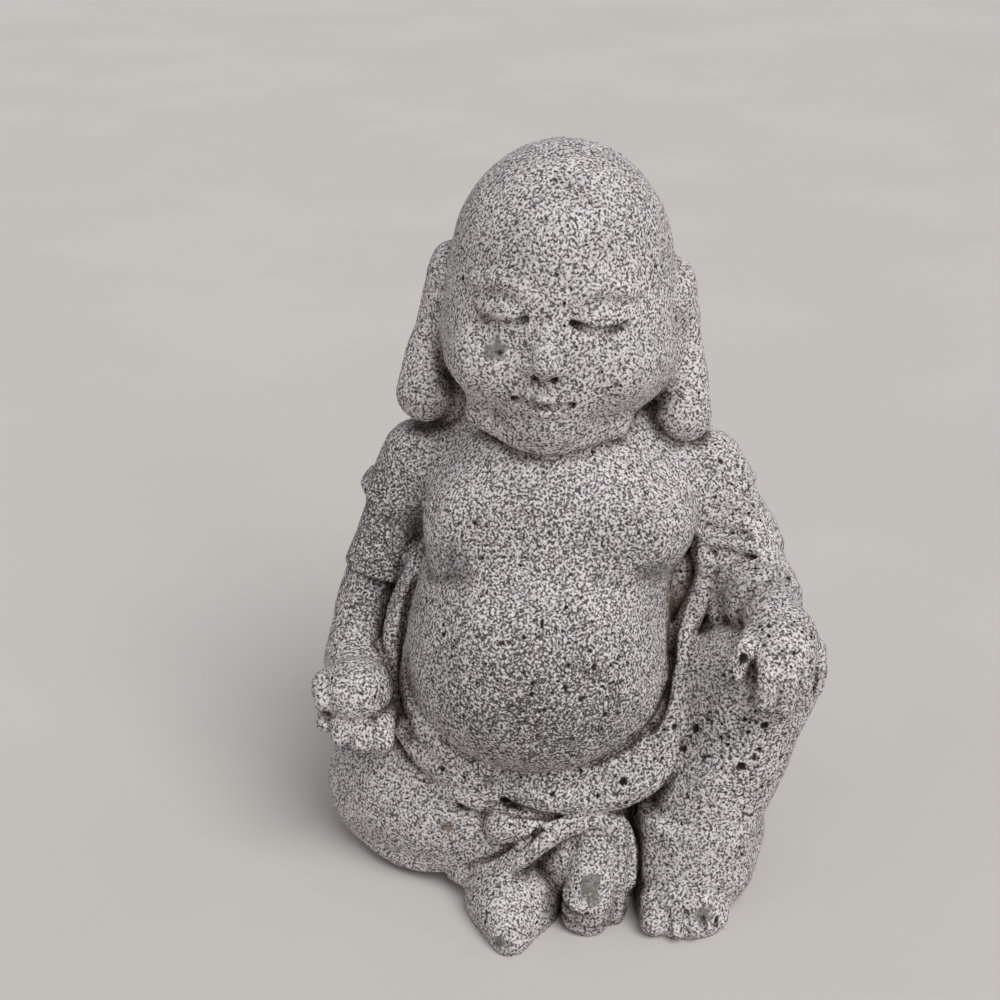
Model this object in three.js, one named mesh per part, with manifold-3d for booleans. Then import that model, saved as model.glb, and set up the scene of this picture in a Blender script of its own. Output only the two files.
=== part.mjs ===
// A laughing buddha statue, cast in one piece from stone grit and cement, 200 mm tall.
// It sits with one leg folded and one knee raised, its robe slipped off the shoulders and open over
// the belly, one hand holding a ball and the other resting on the raised knee.
// Millimetres, +Z up. The figure faces -Y, its own left is +X, and the origin is on the underside.
//
// The form is written as a distance field: each function below returns field(x, y, z), which is
// negative inside the stone. The field is skinned with triangles, thinned to an even budget and
// cut flat below.
import * as THREE from "three";
import { mergeVertices } from "three/addons/utils/BufferGeometryUtils.js";
import Module from "manifold-3d";

// Driving dimensions

const BED = 4;
const REACH = { low: [-76, -76, -BED], high: [80, 56, 204] };
const CELL = 1.6;
const TRIANGLES = 9400;
const CAPE = {
  top: 104,
  middle: 6,
  base: [56, 40],
  neck: [44, 29],
  tuck: 8,
  tuckHeight: 16,
  swags: [[98, 14, 3], [88, 20, 3.2], [74, 22, 3.6], [58, 22, 3.8], [40, 20, 4]],
};
const STONE = { color: 0xb0acab, roughness: 0.95, metalness: 0 };

// Fields to build with

const CURVE_STEPS = 4;
const FAR = 10;

// Distance to an ellipsoid, near enough to true for blending. turn is in degrees about x, y and z.
function ellipsoid([cx, cy, cz], [rx, ry, rz], turn = [0, 0, 0]) {
  const [tx, ty, tz] = turn.map(THREE.MathUtils.degToRad);
  const m = new THREE.Matrix4().makeRotationFromEuler(new THREE.Euler(tx, ty, tz)).elements;
  return (x, y, z) => {
    const dx = x - cx;
    const dy = y - cy;
    const dz = z - cz;
    const u = (m[0] * dx + m[1] * dy + m[2] * dz) / rx;
    const v = (m[4] * dx + m[5] * dy + m[6] * dz) / ry;
    const w = (m[8] * dx + m[9] * dy + m[10] * dz) / rz;
    const k = Math.sqrt(u * u + v * v + w * w);
    const slope = Math.sqrt((u / rx) ** 2 + (v / ry) ** 2 + (w / rz) ** 2);
    return slope > 1e-9 ? (k * (k - 1)) / slope : -Math.min(rx, ry, rz);
  };
}

// A tube along a smooth curve through points [x, y, z, radius].
function limb(points) {
  const spine = points.map(([x, y, z]) => new THREE.Vector3(x, y, z));
  const curve = new THREE.CatmullRomCurve3(spine, false, "catmullrom", 0.5);
  const count = (points.length - 1) * (points.length > 2 ? CURVE_STEPS : 1);
  const route = curve.getPoints(count);
  const radius = route.map((p, i) => {
    const t = (i / count) * (points.length - 1);
    const n = Math.min(Math.floor(t), points.length - 2);
    return THREE.MathUtils.lerp(points[n][3], points[n + 1][3], t - n);
  });
  const ball = new THREE.Box3().setFromPoints(route).getBoundingSphere(new THREE.Sphere());
  ball.radius += Math.max(...radius);
  const { x: bx, y: by, z: bz } = ball.center;
  return (x, y, z) => {
    const away = Math.sqrt((x - bx) ** 2 + (y - by) ** 2 + (z - bz) ** 2) - ball.radius;
    if (away > FAR) return away;
    let best = Infinity;
    for (let i = 0; i < count; i++) {
      const a = route[i];
      const b = route[i + 1];
      const ex = b.x - a.x;
      const ey = b.y - a.y;
      const ez = b.z - a.z;
      const px = x - a.x;
      const py = y - a.y;
      const pz = z - a.z;
      const along = (px * ex + py * ey + pz * ez) / (ex * ex + ey * ey + ez * ez + 1e-12);
      const h = Math.min(Math.max(along, 0), 1);
      const gap = Math.sqrt((px - ex * h) ** 2 + (py - ey * h) ** 2 + (pz - ez * h) ** 2);
      best = Math.min(best, gap - radius[i] - (radius[i + 1] - radius[i]) * h);
    }
    return best;
  };
}

// A tube as above, cut square across its last point, with the edge rounded by k.
function flared(points, k) {
  const [a, b] = points.slice(-2);
  return overlap(k, limb(points), behind(b, [b[0] - a[0], b[1] - a[1], b[2] - a[2]]));
}

// Half of space: everything behind the plane through point, whose outward normal is normal.
function behind([px, py, pz], normal) {
  const n = new THREE.Vector3(...normal).normalize();
  return (x, y, z) => (x - px) * n.x + (y - py) * n.y + (z - pz) * n.z;
}

function smoothMin(a, b, k) {
  const h = Math.max(k - Math.abs(a - b), 0) / k;
  return Math.min(a, b) - h * h * k * 0.25;
}

// Fields melted together, with a fillet about k wide.
function blend(k, ...fields) {
  return (x, y, z) => {
    let d = fields[0](x, y, z);
    for (let i = 1; i < fields.length; i++) d = smoothMin(d, fields[i](x, y, z), k);
    return d;
  };
}

// The first field with the others cut away, rims rounded by k.
function carve(k, base, ...cutters) {
  return (x, y, z) => {
    let d = base(x, y, z);
    for (const cut of cutters) d = -smoothMin(-d, cut(x, y, z), k);
    return d;
  };
}

// What is inside both fields, with the shared edge rounded by k.
function overlap(k, a, b) {
  return (x, y, z) => -smoothMin(-a(x, y, z), -b(x, y, z), k);
}

// A field pressed in along creases, each [depth, reach to each side, points].
function creased(base, creases) {
  const lines = creases.map(([depth, reach, points]) => {
    const line = limb(points.map(([x, y, z]) => [x, y, z, 0]));
    return (x, y, z) => depth * THREE.MathUtils.smoothstep(1 - line(x, y, z) / reach, 0, 1);
  });
  return (x, y, z) => lines.reduce((d, line) => d + line(x, y, z), base(x, y, z));
}

// A field repeated on both sides of the plane x = 0.
function mirrored(field) {
  return (x, y, z) => field(Math.abs(x), y, z);
}

function moved(field, [dx, dy, dz]) {
  return (x, y, z) => field(x - dx, y - dy, z - dz);
}

// A field turned about a pivot, in degrees about x, y and z.
function turned(field, [px, py, pz], turn) {
  const [tx, ty, tz] = turn.map(THREE.MathUtils.degToRad);
  const m = new THREE.Matrix4().makeRotationFromEuler(new THREE.Euler(tx, ty, tz)).elements;
  return (x, y, z) => {
    const dx = x - px;
    const dy = y - py;
    const dz = z - pz;
    return field(
      px + m[0] * dx + m[1] * dy + m[2] * dz,
      py + m[4] * dx + m[5] * dy + m[6] * dz,
      pz + m[8] * dx + m[9] * dy + m[10] * dz,
    );
  };
}

// The statue's forms

// Bare torso: upper back, shoulders, chest and the round belly.
function torso() {
  const back = ellipsoid([0, 8, 74], [41, 30, 52]);
  const shoulders = limb([[-36, 4, 110, 12], [-20, 7, 117, 14], [0, 8, 119, 15], [20, 7, 118, 14],
    [37, 4, 111, 12]]);
  const neck = limb([[-1, 4, 116, 22], [-1, 3, 140, 20]]);
  const chest = ellipsoid([1, -7, 107], [33.5, 27, 23]);
  const breasts = blend(3,
    ellipsoid([-16, -20, 103], [18, 13, 13.5]),
    ellipsoid([18, -19, 104], [17.5, 14, 13]));
  const belly = blend(10, ellipsoid([-4, -13, 72], [35, 38.5, 37]), ellipsoid([-4, -14, 59], [35.6, 34, 25]));
  const upper = blend(8, blend(12, back, shoulders, chest, neck), breasts);
  return blend(9, upper, belly);
}

// Seat and both legs under the robe.
function legs() {
  const seat = ellipsoid([0, 6, 20], [57, 42, 28]);
  const foldedThigh = limb([[-22, 0, 24, 20], [-38, -8, 23, 20], [-46, -12, 20, 18]]);
  const foldedShin = limb([[-46, -14, 15, 16], [-30, -26, 16, 15], [-8, -29.5, 17, 14]]);
  const lapRight = ellipsoid([-28, -14, 25], [30, 25, 17]);
  const raisedThigh = limb([[24, 2, 40, 22], [44, -12, 56, 19], [56, -22, 65, 14]]);
  const raisedShin = limb([[56, -24, 65, 14], [50, -28, 46, 15], [44, -30, 30, 15]]);
  const lapLeft = ellipsoid([40, -2, 34], [24, 32, 34]);
  return blend(7, seat, foldedThigh, foldedShin, lapRight, raisedThigh, raisedShin, lapLeft);
}

// The trouser leg below the raised knee, a step wider than the cloth above it.
function trouser() {
  const drum = blend(3,
    limb([[40.6, -31, 24, 17.4], [40.2, -32, 14, 17.8]]),
    ellipsoid([52.6, -27, 20], [7, 9, 13]));
  return overlap(1.6, drum, behind([42, -40, 30.4], [0.03, -0.12, 1]));
}

// The sleeve of the arm that lies along the side, in overlapping lengths, with the bare shoulder.
function rightArm() {
  const shoulder = limb([[-38, 3, 111, 12], [-42.5, 2, 104, 10.6]]);
  const lengths = blend(0.8,
    flared([[-44, 1, 102, 9.6], [-45.4, 0.5, 96, 8.9], [-47.6, -1, 88, 9.2], [-49.8, -2.5, 79.6, 10.4]], 1.2),
    limb([[-49.5, -1, 84, 8], [-52.8, -5, 74, 8.2], [-54.8, -9, 65, 8], [-56, -14, 57, 8.4]]),
    limb([[-54, -8, 64, 8], [-54.5, -15, 59, 8.6], [-53, -23, 56, 9]]));
  const edge = limb([[-52, 8, 106, 1.4], [-53.8, 1, 104.5, 1.5], [-51, -6, 103, 1]]);
  return blend(1.2, shoulder, lengths, edge);
}

// The sleeve of the arm that leads to the raised knee.
function leftArm() {
  const shoulder = limb([[37, 3, 112, 12], [41, 2, 107, 11]]);
  const lengths = blend(0.8,
    flared([[38.5, 2, 113, 10.4], [41, 1.4, 109, 10.8], [42.6, 0.8, 106, 11.3]], 1),
    flared([[40.5, 0.6, 106, 11], [44, -0.6, 99, 12], [47.4, -2, 91.5, 13.8]], 1.5),
    flared([[45, 0, 99, 9.6], [47.5, -3.5, 93, 10.6], [49.6, -7.5, 88.5, 12]], 1.2),
    flared([[48, -2, 92, 9.8], [51, -8.5, 87.5, 11.2], [53, -14, 85.4, 11.6]], 1.2),
    flared([[52, -7, 87, 9.6], [54.5, -15, 85.4, 10.4], [56.5, -21, 84.6, 10]], 1.8));
  const wrist = limb([[55, -14, 85, 7.5], [58.5, -27, 83.5, 7.6]]);
  const folds = blend(1,
    limb([[37.5, -9.5, 108.5, 1.8], [42.5, -7.8, 109.6, 2.4], [50, -7, 106.6, 2.6], [54, -4.6, 102.6, 2.4]]),
    limb([[39, -12.6, 98.6, 1.8], [46.5, -13, 99.4, 2.5], [53, -11, 98, 2.8], [58, -5.6, 96, 2.6]]));
  const hanging = limb([[42, -11, 85, 4], [44.5, -12, 78.5, 5]]);
  return blend(1.2, shoulder, lengths, folds, hanging, wrist);
}

// The hand turned up, four fingers below and the thumb outside, holding a ball.
function ballHand() {
  const ball = ellipsoid([-51.6, -31.5, 58], [9.8, 10, 8.2]);
  const palm = ellipsoid([-50.8, -31.5, 50], [10, 9.4, 5.4]);
  const thumb = limb([[-59, -26, 58, 3.4], [-60.5, -33, 60, 3], [-59.5, -38, 57.5, 2.6]]);
  const fingers = blend(0.5,
    limb([[-59.2, -34, 51.5, 2.6], [-59.6, -36, 49.4, 2.5]]),
    limb([[-54.6, -37, 51.4, 3], [-54.6, -38.8, 47.8, 3]]),
    limb([[-49, -38.2, 51, 3.1], [-49, -40.2, 47, 3.1]]),
    limb([[-43.4, -37.2, 51.6, 3.1], [-43.4, -39.4, 47.2, 3.1]]));
  return blend(0.8, ball, blend(1.5, palm, thumb), fingers);
}

// The hand laid over the raised knee.
function kneeHand() {
  const backOfHand = ellipsoid([60, -32.5, 82], [9.2, 11, 6.5], [24, 0, 0]);
  const thumb = limb([[54, -30, 82, 3.6], [50.5, -38, 80.5, 3.1], [48.5, -42, 76.5, 2.7]]);
  const fingers = blend(0.6,
    limb([[56.2, -38, 80, 3.5], [56.7, -43, 76, 3.2], [56.4, -44.2, 69.5, 2.8]]),
    limb([[60.6, -37, 80, 3.4], [61.4, -41.8, 76, 3.1], [61.2, -42.8, 69, 2.8]]),
    limb([[65, -35, 79.5, 3.2], [65.6, -39, 75.5, 3], [65.4, -40, 69, 2.7]]),
    limb([[68.6, -31, 78.5, 3], [69.2, -34.5, 75, 2.7], [69, -35.5, 70, 2.4]]));
  return blend(0.9, blend(2, backOfHand, fingers), thumb);
}

// The robe where it lies open round the belly: an edge down each side and a doubled rim below.
function robeOpening() {
  const rightEdge = limb([[-34.6, -11, 93, 2.2], [-38.5, -13, 85, 2.6], [-42, -14.5, 76, 3.2],
    [-43.6, -16.5, 66, 3.8], [-43, -19.5, 55, 4.4], [-39, -25, 45.5, 5], [-32, -31, 39.4, 5.2],
    [-25, -35, 36.4, 5], [-20, -36.5, 36.6, 4.8]]);
  const leftEdge = limb([[38, -9, 106, 2.6], [37.4, -11, 99, 2.8], [39.8, -13, 92, 3], [39.8, -14, 87, 3.2],
    [37.2, -16, 80, 3.4], [35, -19, 74, 3.6], [34.5, -21, 66, 4], [35, -25, 58, 4.6]]);
  const outerRim = limb([[35, -25, 58, 4.4], [33.5, -30, 50.5, 5], [30, -34, 44, 5.6], [23, -37.5, 38.5, 5.8],
    [12, -39, 34.5, 5.8], [0, -38.5, 34, 5.6], [-9, -37, 35, 5]]);
  const innerRim = limb([[33, -22, 64, 3], [31.5, -27, 54, 3.6], [26, -33, 47, 3.8], [16, -36.5, 42, 4],
    [2, -37.5, 39.5, 4], [-9, -36.5, 38.5, 3.8], [-18, -34.5, 38, 3]]);
  const lining = limb([[-35, -6, 84, 8], [-38, -9, 66, 9], [-34, -14, 50, 10], [-20, -22, 40, 9]]);
  const liningLeft = limb([[33, -4, 88, 8], [34, -8, 70, 9], [33, -15, 54, 10], [18, -24, 42, 9]]);
  const filling = limb([[-37.5, -20, 66, 3], [-37, -26, 56, 4], [-32, -31.5, 48, 4.5], [-24, -35.5, 42, 4.5],
    [-15, -37, 40, 3.5]]);
  return blend(1.5, rightEdge, leftEdge, blend(1, outerRim, innerRim), lining, liningLeft, filling);
}

// The knot of the sash below the rim, with one loop, and the tail that hangs to the ground
// inside the arch of the hem.
function sash() {
  const wrap = limb([[-26, -35, 31, 4.4], [-18, -38, 31, 4.6], [-11, -37.5, 33, 4]]);
  const loop = limb([[-10.4, -42, 25, 5.4], [-4.5, -42.6, 26.4, 4.1], [2.5, -41, 29.4, 1.8]]);
  const lobe = limb([[14.6, -42, 20.5, 6], [14.2, -45.5, 15, 6.7], [13.4, -48.5, 8, 6.7],
    [13, -49.2, 3, 6.2]]);
  const wrinkles = blend(1,
    ellipsoid([13, -50, 9.4], [6.9, 6, 1.3], [14, 8, 0]),
    ellipsoid([12.8, -50.2, 6], [6.9, 6, 1.3], [14, 8, 0]),
    ellipsoid([12.6, -50, 2.6], [6.5, 5.8, 1.3], [14, 8, 0]));
  return blend(1.2, wrap, loop, blend(0.6, lobe, wrinkles));
}

// The hem: from beside the folded leg's foot up over the sash tail and down on its other side.
function hem() {
  const band = limb([[-24, -38, 5.4, 3], [-19.2, -42.5, 7.4, 3.2], [-13.4, -44.6, 10.6, 3.4],
    [-8, -45.4, 15, 3.4], [-3.2, -44.8, 20, 3.6], [1.9, -43.4, 24.4, 3.8], [8, -41.6, 27.6, 4],
    [15.8, -40.6, 28.6, 4],
    [20.6, -42, 24.4, 4], [22, -44, 17, 3.8], [21.4, -45.6, 9, 3.8], [19.4, -46.6, 3, 4]]);
  const web = ellipsoid([11.5, -36, 11], [13.5, 11.5, 17]);
  return blend(2, band, web);
}

// The foot that comes out from under the folded leg.
function rightFoot() {
  return blend(4,
    limb([[-13, -36, 5, 9], [-9, -46, 4.4, 9.6], [-7, -56, 3.4, 7.4], [-6.5, -61.5, 2.6, 4.6]]),
    ellipsoid([-7, -45, 3], [13, 13, 9]));
}

// The foot below the raised knee, with its five toes.
function leftFoot() {
  const instep = blend(4,
    ellipsoid([38.5, -38, 6], [12.4, 14, 14]),
    ellipsoid([38.5, -44.5, 4], [12, 9, 9.5]));
  const toes = blend(0.5,
    limb([[31, -47, 8, 4], [31.2, -51.2, 4, 3.9]]),
    limb([[37.1, -49, 8, 2.8], [37.4, -53.4, 3.6, 2.5]]),
    limb([[41.6, -48.4, 7.6, 2.5], [41.9, -52.6, 3.4, 2.3]]),
    limb([[45.4, -46.8, 7, 2.2], [45.8, -50.6, 3.4, 2]]),
    limb([[48.6, -43.6, 6.4, 2], [49.2, -47, 3.2, 1.7]]));
  return blend(1, instep, toes);
}

// Cloth edges and folds over the legs.
function legFolds() {
  return blend(2,
    limb([[-61, -12, 8, 3.4], [-50, -25, 6, 3.6], [-38, -33, 5.5, 3.6], [-26, -37.6, 9, 3.4],
      [-14, -41, 17, 3], [-6, -42, 24, 2.6], [-1, -40.6, 29, 2.4]]),
    limb([[-54, -18, 36, 3], [-43, -27, 32, 3.2], [-33, -34, 28.5, 3]]),
    limb([[-48, -30, 20, 2.6], [-36, -36, 21, 3], [-26, -39.5, 24, 2.6]]),
    limb([[60, -8, 58, 3], [60, -22, 44, 3.2], [56, -34, 36, 3]]));
}

// Half width and depth of the robe's back at a height. It tucks in where it meets the ground.
function capeRadii(z) {
  const t = THREE.MathUtils.clamp(z / CAPE.top, 0, 1);
  const tuck = CAPE.tuck * Math.max(1 - z / CAPE.tuckHeight, 0) ** 2;
  return CAPE.base.map((base, i) => THREE.MathUtils.lerp(base, CAPE.neck[i], t) - tuck);
}

// A fold hanging across the back: level at the sides' height z and lower by drop in the middle.
function swag(z, drop, radius) {
  const points = [];
  for (let angle = -84; angle <= 84; angle += 24) {
    const turn = THREE.MathUtils.degToRad(angle);
    const height = z - drop * Math.cos(turn) ** 2;
    const [wide, deep] = capeRadii(height);
    const side = (wide - 0.4 * radius) * Math.sin(turn);
    points.push([side, CAPE.middle + (deep - 0.4 * radius) * Math.cos(turn), height, radius]);
  }
  return limb(points);
}

// The robe across the back: a bell with a rolled top edge and swags that fall from it.
function robeBack() {
  const bell = (x, y, z) => {
    const [wide, deep] = capeRadii(z);
    const u = x / wide;
    const v = (y - CAPE.middle) / deep;
    const k = Math.sqrt(u * u + v * v);
    return (k * (k - 1)) / Math.sqrt((u / wide) ** 2 + (v / deep) ** 2 + 1e-9);
  };
  const lowCape = overlap(2, bell, behind([0, 30, CAPE.top], [0, 0.25, 1]));
  const cape = overlap(4, lowCape, behind([0, -2, 60], [0, -1, -0.1]));
  const folds = [swag(CAPE.top + 1, 6, 3.4)];
  for (const [z, drop, radius] of CAPE.swags) folds.push(swag(z, drop, radius));
  return blend(3, cape, ...folds);
}

function head() {
  const cranium = ellipsoid([0, 3, 168], [28.7, 31, 32]);
  const jaw = ellipsoid([1.2, -3, 147.5], [29.8, 27, 19]);
  const brows = mirrored(limb([[4, -26.6, 167.6, 1.5], [11.5, -25.6, 171.4, 1.6],
    [19.5, -20.8, 169.6, 1.3]]));
  const lids = mirrored(ellipsoid([11.6, -23.6, 163.6], [6.6, 4, 3.5], [0, 0, 16]));
  const cheeks = mirrored(ellipsoid([14.5, -20, 149], [10.5, 9, 8.5]));
  const nose = limb([[0, -25.4, 166.5, 2.4], [0, -28.8, 158.5, 2.7], [0, -31.4, 153, 3.5]]);
  const wings = mirrored(ellipsoid([4, -29, 151.4], [2.6, 3.2, 2.3]));
  const mouth = ellipsoid([0, -25, 142.5], [10, 5, 6]);
  const upperLip = mirrored(limb([[0, -30.3, 143.6, 1.5], [3.4, -29.9, 144, 1.5], [8, -27.2, 144.3, 1]]));
  const lowerLip = limb([[-6.5, -27.8, 142, 1.3], [0, -29.6, 140.2, 1.9], [6.5, -27.8, 142, 1.3]]);
  const chin = ellipsoid([0, -22.5, 134.5], [9, 6.5, 5]);
  const fold = limb([[-17, -16, 133, 4], [0, -22, 129.5, 4.4], [17, -16, 133, 4]]);
  const face = blend(5, blend(14, cranium, jaw), cheeks, mouth, chin, fold);
  return blend(1, blend(2.5, face, brows, lids, nose), wings, upperLip, lowerLip);
}

function nostrils() {
  return mirrored(ellipsoid([2.2, -31, 149.6], [0.9, 1.4, 0.9]));
}

// The lines between the closed lids and between the lips.
function faceCreases() {
  return [
    [1.1, 1.7, [[5.5, -27.6, 163.2], [11.8, -27.4, 161.2], [18, -23, 162.4]]],
    [1.1, 1.7, [[-5.5, -27.6, 163.2], [-11.8, -27.4, 161.2], [-18, -23, 162.4]]],
    [1.2, 1.7, [[-10, -27, 144.2], [-4, -30.3, 142.2], [4, -30.3, 142.2], [10, -27, 144.2]]],
  ];
}

// Both ears, each a plate with a narrow hollow and a long heavy lobe.
function ears() {
  const plate = ellipsoid([30.5, 6, 158.5], [5.2, 8, 12]);
  const root = limb([[25, 6, 144, 7], [26, 4, 128, 8]]);
  const lobe = limb([[31, 5, 153, 5], [33.2, 2, 143, 6.2], [33.8, -1.5, 131.6, 8]]);
  const hollow = limb([[33, -1.6, 167, 0.9], [35, -1.6, 162, 1.3], [34.6, -1.2, 156.5, 0.9]]);
  return mirrored(carve(0.8, blend(2, blend(5, plate, lobe), root), hollow));
}

// The open slit between the chest and the robe's edge beside the raised arm.
function robeCuts() {
  return limb([[35, -15, 107, 0.8], [35, -15, 98, 1.8], [34.6, -15, 90, 2.4], [33.6, -16, 85, 1.4]]);
}

// Creases between the chest, the belly, the sleeves and the robe.
function robeCreases() {
  return [
    [1.8, 3, [[-36.4, -13, 107], [-35.4, -15, 98], [-34.6, -15, 91]]],
    [1, 4.5, [[-33, -21, 90], [-28.6, -28.5, 91], [-21, -35.4, 95.4]]],
    [0.8, 3.6, [[10, -42, 105], [18, -39, 100], [26.7, -30, 93.8], [31, -21, 90]]],
    [0.9, 2.2, [[-34.4, -17, 87], [-38.8, -17, 78], [-40.2, -19, 67], [-39.4, -22.5, 56], [-35.4, -28, 46.4],
      [-27, -33.6, 41], [-18, -38, 39.6]]],
    [1, 2.2, [[34, -17, 84], [33, -20, 76], [32.4, -23.5, 66], [30.6, -29, 56], [25.6, -35, 47]]],
    [1.4, 2.2, [[-35.4, -13.4, 91.6], [-43, -15.5, 81], [-46.8, -16.6, 73], [-48, -18, 65]]],
    [2.4, 2.6, [[40, -12.5, 102], [44.5, -13.2, 101.8], [50, -12.2, 100.2]]],
    [1.6, 2.2, [[46, -16, 95.8], [52, -15.6, 95.2], [57.5, -12, 94]]],
    [1.6, 2, [[43.4, -18, 85], [41.6, -19, 80], [38.4, -21, 75.4]]],
  ];
}

// The deep cuts beside the hand, under the rim, at the knot and between the feet.
function lowCuts() {
  return blend(0.6,
    limb([[-41, -34, 53, 1.6], [-39, -32, 47, 2.6], [-41.6, -33, 41.6, 2.2]]),
    limb([[-22, -40, 29.4, 1.2], [-18.6, -42, 28, 1]]),
    limb([[-11, -43, 31.5, 1.8], [-4, -43.5, 30, 1.4], [5, -42.5, 29.5, 1.1], [14, -42, 32.5, 1.1]]),
    limb([[23.6, -43, 29, 1.8], [24.4, -43.6, 26, 1.2]]),
    limb([[25, -46, 9, 1.2], [25, -50, 2, 2.4]]),
    limb([[4.4, -51, 15, 0.9], [4.8, -53.5, 8, 1.4], [4.6, -56, 0, 2]]),
    limb([[49.8, -43.5, 79, 1.1], [52.4, -42.4, 78, 1.3], [52.2, -45.5, 73, 1.1]]));
}

// Creases of the folded leg, the knot, the trouser and between the toes.
function lowCreases() {
  return [
    [0.9, 2, [[-42, -36, 4.5], [-31.2, -40, 5.8], [-22, -43.6, 8], [-13, -46.6, 14.6], [-6, -47, 21],
      [0, -45, 26]]],
    [1, 1.8, [[-16, -44.4, 28], [-16.6, -45, 23.5], [-13, -46, 20.6]]],
    [2.2, 2.4, [[24, -43, 27.5], [24.2, -45, 21], [24.4, -47.5, 13.6], [24.8, -49.5, 5.3]]],
    [1, 2, [[27, -50.6, 6], [31, -53, 13.6], [40, -53.4, 16], [48, -48, 12]]],
    [1.2, 1.5, [[34.6, -52, 8.4], [35.2, -55.4, 2.6]]],
    [1.2, 1.5, [[39.4, -52, 8.8], [40, -55.4, 2.6]]],
    [1.2, 1.5, [[43.4, -50.6, 8.4], [43.9, -53.6, 2.4]]],
    [1.2, 1.5, [[46.8, -48.4, 7.6], [47.1, -51.4, 2.4]]],
    [1, 1.4, [[-51.7, -42, 51], [-51.7, -43, 45]]],
    [1, 1.4, [[-46.2, -42, 51], [-46.2, -43, 44.6]]],
  ];
}

function statue() {
  const body = blend(2, blend(4, torso(), legs()), robeBack());
  const limbs = blend(1, rightArm(), leftArm(), ballHand(), kneeHand(), trouser(), rightFoot(), leftFoot());
  const dress = blend(1, robeOpening(), sash(), hem(), legFolds());
  const upright = blend(4, creased(carve(0.6, head(), nostrils()), faceCreases()), ears());
  const top = moved(turned(upright, [0, 0, 147], [0, 2.4, 0]), [-1.8, 0, 0]);
  const whole = blend(1.2, blend(1.5, body, limbs), dress, top);
  const sunk = behind([0, 0, 1 - BED], [0, 0, -1]);
  const cut = carve(0.8, whole, robeCuts(), lowCuts());
  return overlap(0.5, creased(creased(cut, robeCreases()), lowCreases()), sunk);
}

// Skinning

// The six tetrahedra of a cell, each a walk from corner 0 to corner 7 along the three axes.
const AXIS_ORDERS = [[1, 2, 4], [2, 4, 1], [4, 1, 2], [2, 1, 4], [1, 4, 2], [4, 2, 1]];
const CELL_TETRAHEDRA = AXIS_ORDERS.map(([a, b], i) => (i < 3 ? [0, a, a + b, 7] : [0, a + b, a, 7]));

// For each pattern of inside corners, the corners reordered by an even permutation, so that the
// inside ones come first, or the one outside corner does.
function cornerOrders() {
  const orders = [];
  const isEven = (p) => p.reduce((s, v, i) => s + p.slice(i + 1).filter((w) => w < v).length, 0) % 2 === 0;
  const all = [0, 1, 2, 3];
  const permutations = all.flatMap((a) =>
    all.flatMap((b) => all.flatMap((c) => all.map((d) => [a, b, c, d]))),
  ).filter((p) => new Set(p).size === 4 && isEven(p));
  for (let mask = 0; mask < 16; mask++) {
    const inside = all.filter((c) => mask & (1 << c));
    const first = inside.length === 3 ? all.filter((c) => !inside.includes(c)) : inside;
    const order = permutations.find((p) => first.every((c) => p.indexOf(c) < first.length));
    orders.push({ count: inside.length, order });
  }
  return orders;
}

const BLOCK = 4;

// The surface where field is zero, as { position, faces }, from a grid of cells cut into tetrahedra.
function skin(field, { low, high }, cell) {
  const [nx, ny, nz] = low.map((v, i) => Math.ceil((high[i] - v) / cell) + 1);
  const at = (n) => [
    low[0] + (n % nx) * cell,
    low[1] + (Math.floor(n / nx) % ny) * cell,
    low[2] + Math.floor(n / (nx * ny)) * cell,
  ];
  const value = new Float64Array(nx * ny * nz);
  for (let k = 0; k < nz; k += BLOCK) {
    for (let j = 0; j < ny; j += BLOCK) {
      for (let i = 0; i < nx; i += BLOCK) {
        const middle = [i, j, k].map((v, a) => low[a] + (v + (BLOCK - 1) / 2) * cell);
        const guess = field(...middle);
        const isClear = Math.abs(guess) > BLOCK * cell * 1.5;
        for (let c = k; c < Math.min(k + BLOCK, nz); c++) {
          for (let b = j; b < Math.min(j + BLOCK, ny); b++) {
            for (let a = i; a < Math.min(i + BLOCK, nx); a++) {
              const x = low[0] + a * cell;
              const y = low[1] + b * cell;
              value[a + b * nx + c * nx * ny] = isClear ? guess : field(x, y, low[2] + c * cell);
            }
          }
        }
      }
    }
  }
  const position = [];
  const faces = [];
  const seen = new Map();
  const crossing = (a, b) => {
    const [p, q] = a < b ? [a, b] : [b, a];
    const key = p * value.length + q;
    if (!seen.has(key)) {
      const t = THREE.MathUtils.clamp(value[p] / (value[p] - value[q]), 0.03, 0.97);
      const from = at(p);
      const to = at(q);
      seen.set(key, position.length);
      position.push(from.map((v, i) => v + (to[i] - v) * t));
    }
    return seen.get(key);
  };
  const step = [1, nx, nx * ny];
  const offset = Array.from({ length: 8 }, (_, c) => step.reduce((s, v, i) => s + (c & (1 << i) ? v : 0), 0));
  const orders = cornerOrders();
  for (let k = 0; k < nz - 1; k++) {
    for (let j = 0; j < ny - 1; j++) {
      for (let i = 0; i < nx - 1; i++) {
        const n = i + j * nx + k * nx * ny;
        const first = value[n] < 0;
        if (offset.every((o) => value[n + o] < 0 === first)) continue;
        for (const tetrahedron of CELL_TETRAHEDRA) {
          const corner = tetrahedron.map((c) => n + offset[c]);
          const mask = corner.reduce((m, c, b) => (value[c] < 0 ? m | (1 << b) : m), 0);
          if (mask === 0 || mask === 15) continue;
          const { count, order } = orders[mask];
          const [p, q, r, s] = order.map((c) => corner[c]);
          if (count === 1) faces.push([crossing(p, q), crossing(p, r), crossing(p, s)]);
          if (count === 3) faces.push([crossing(p, q), crossing(p, s), crossing(p, r)]);
          if (count === 2) {
            const ring = [crossing(p, r), crossing(p, s), crossing(q, s), crossing(q, r)];
            faces.push([ring[0], ring[1], ring[2]], [ring[0], ring[2], ring[3]]);
          }
        }
      }
    }
  }
  return { position, faces };
}

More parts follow.
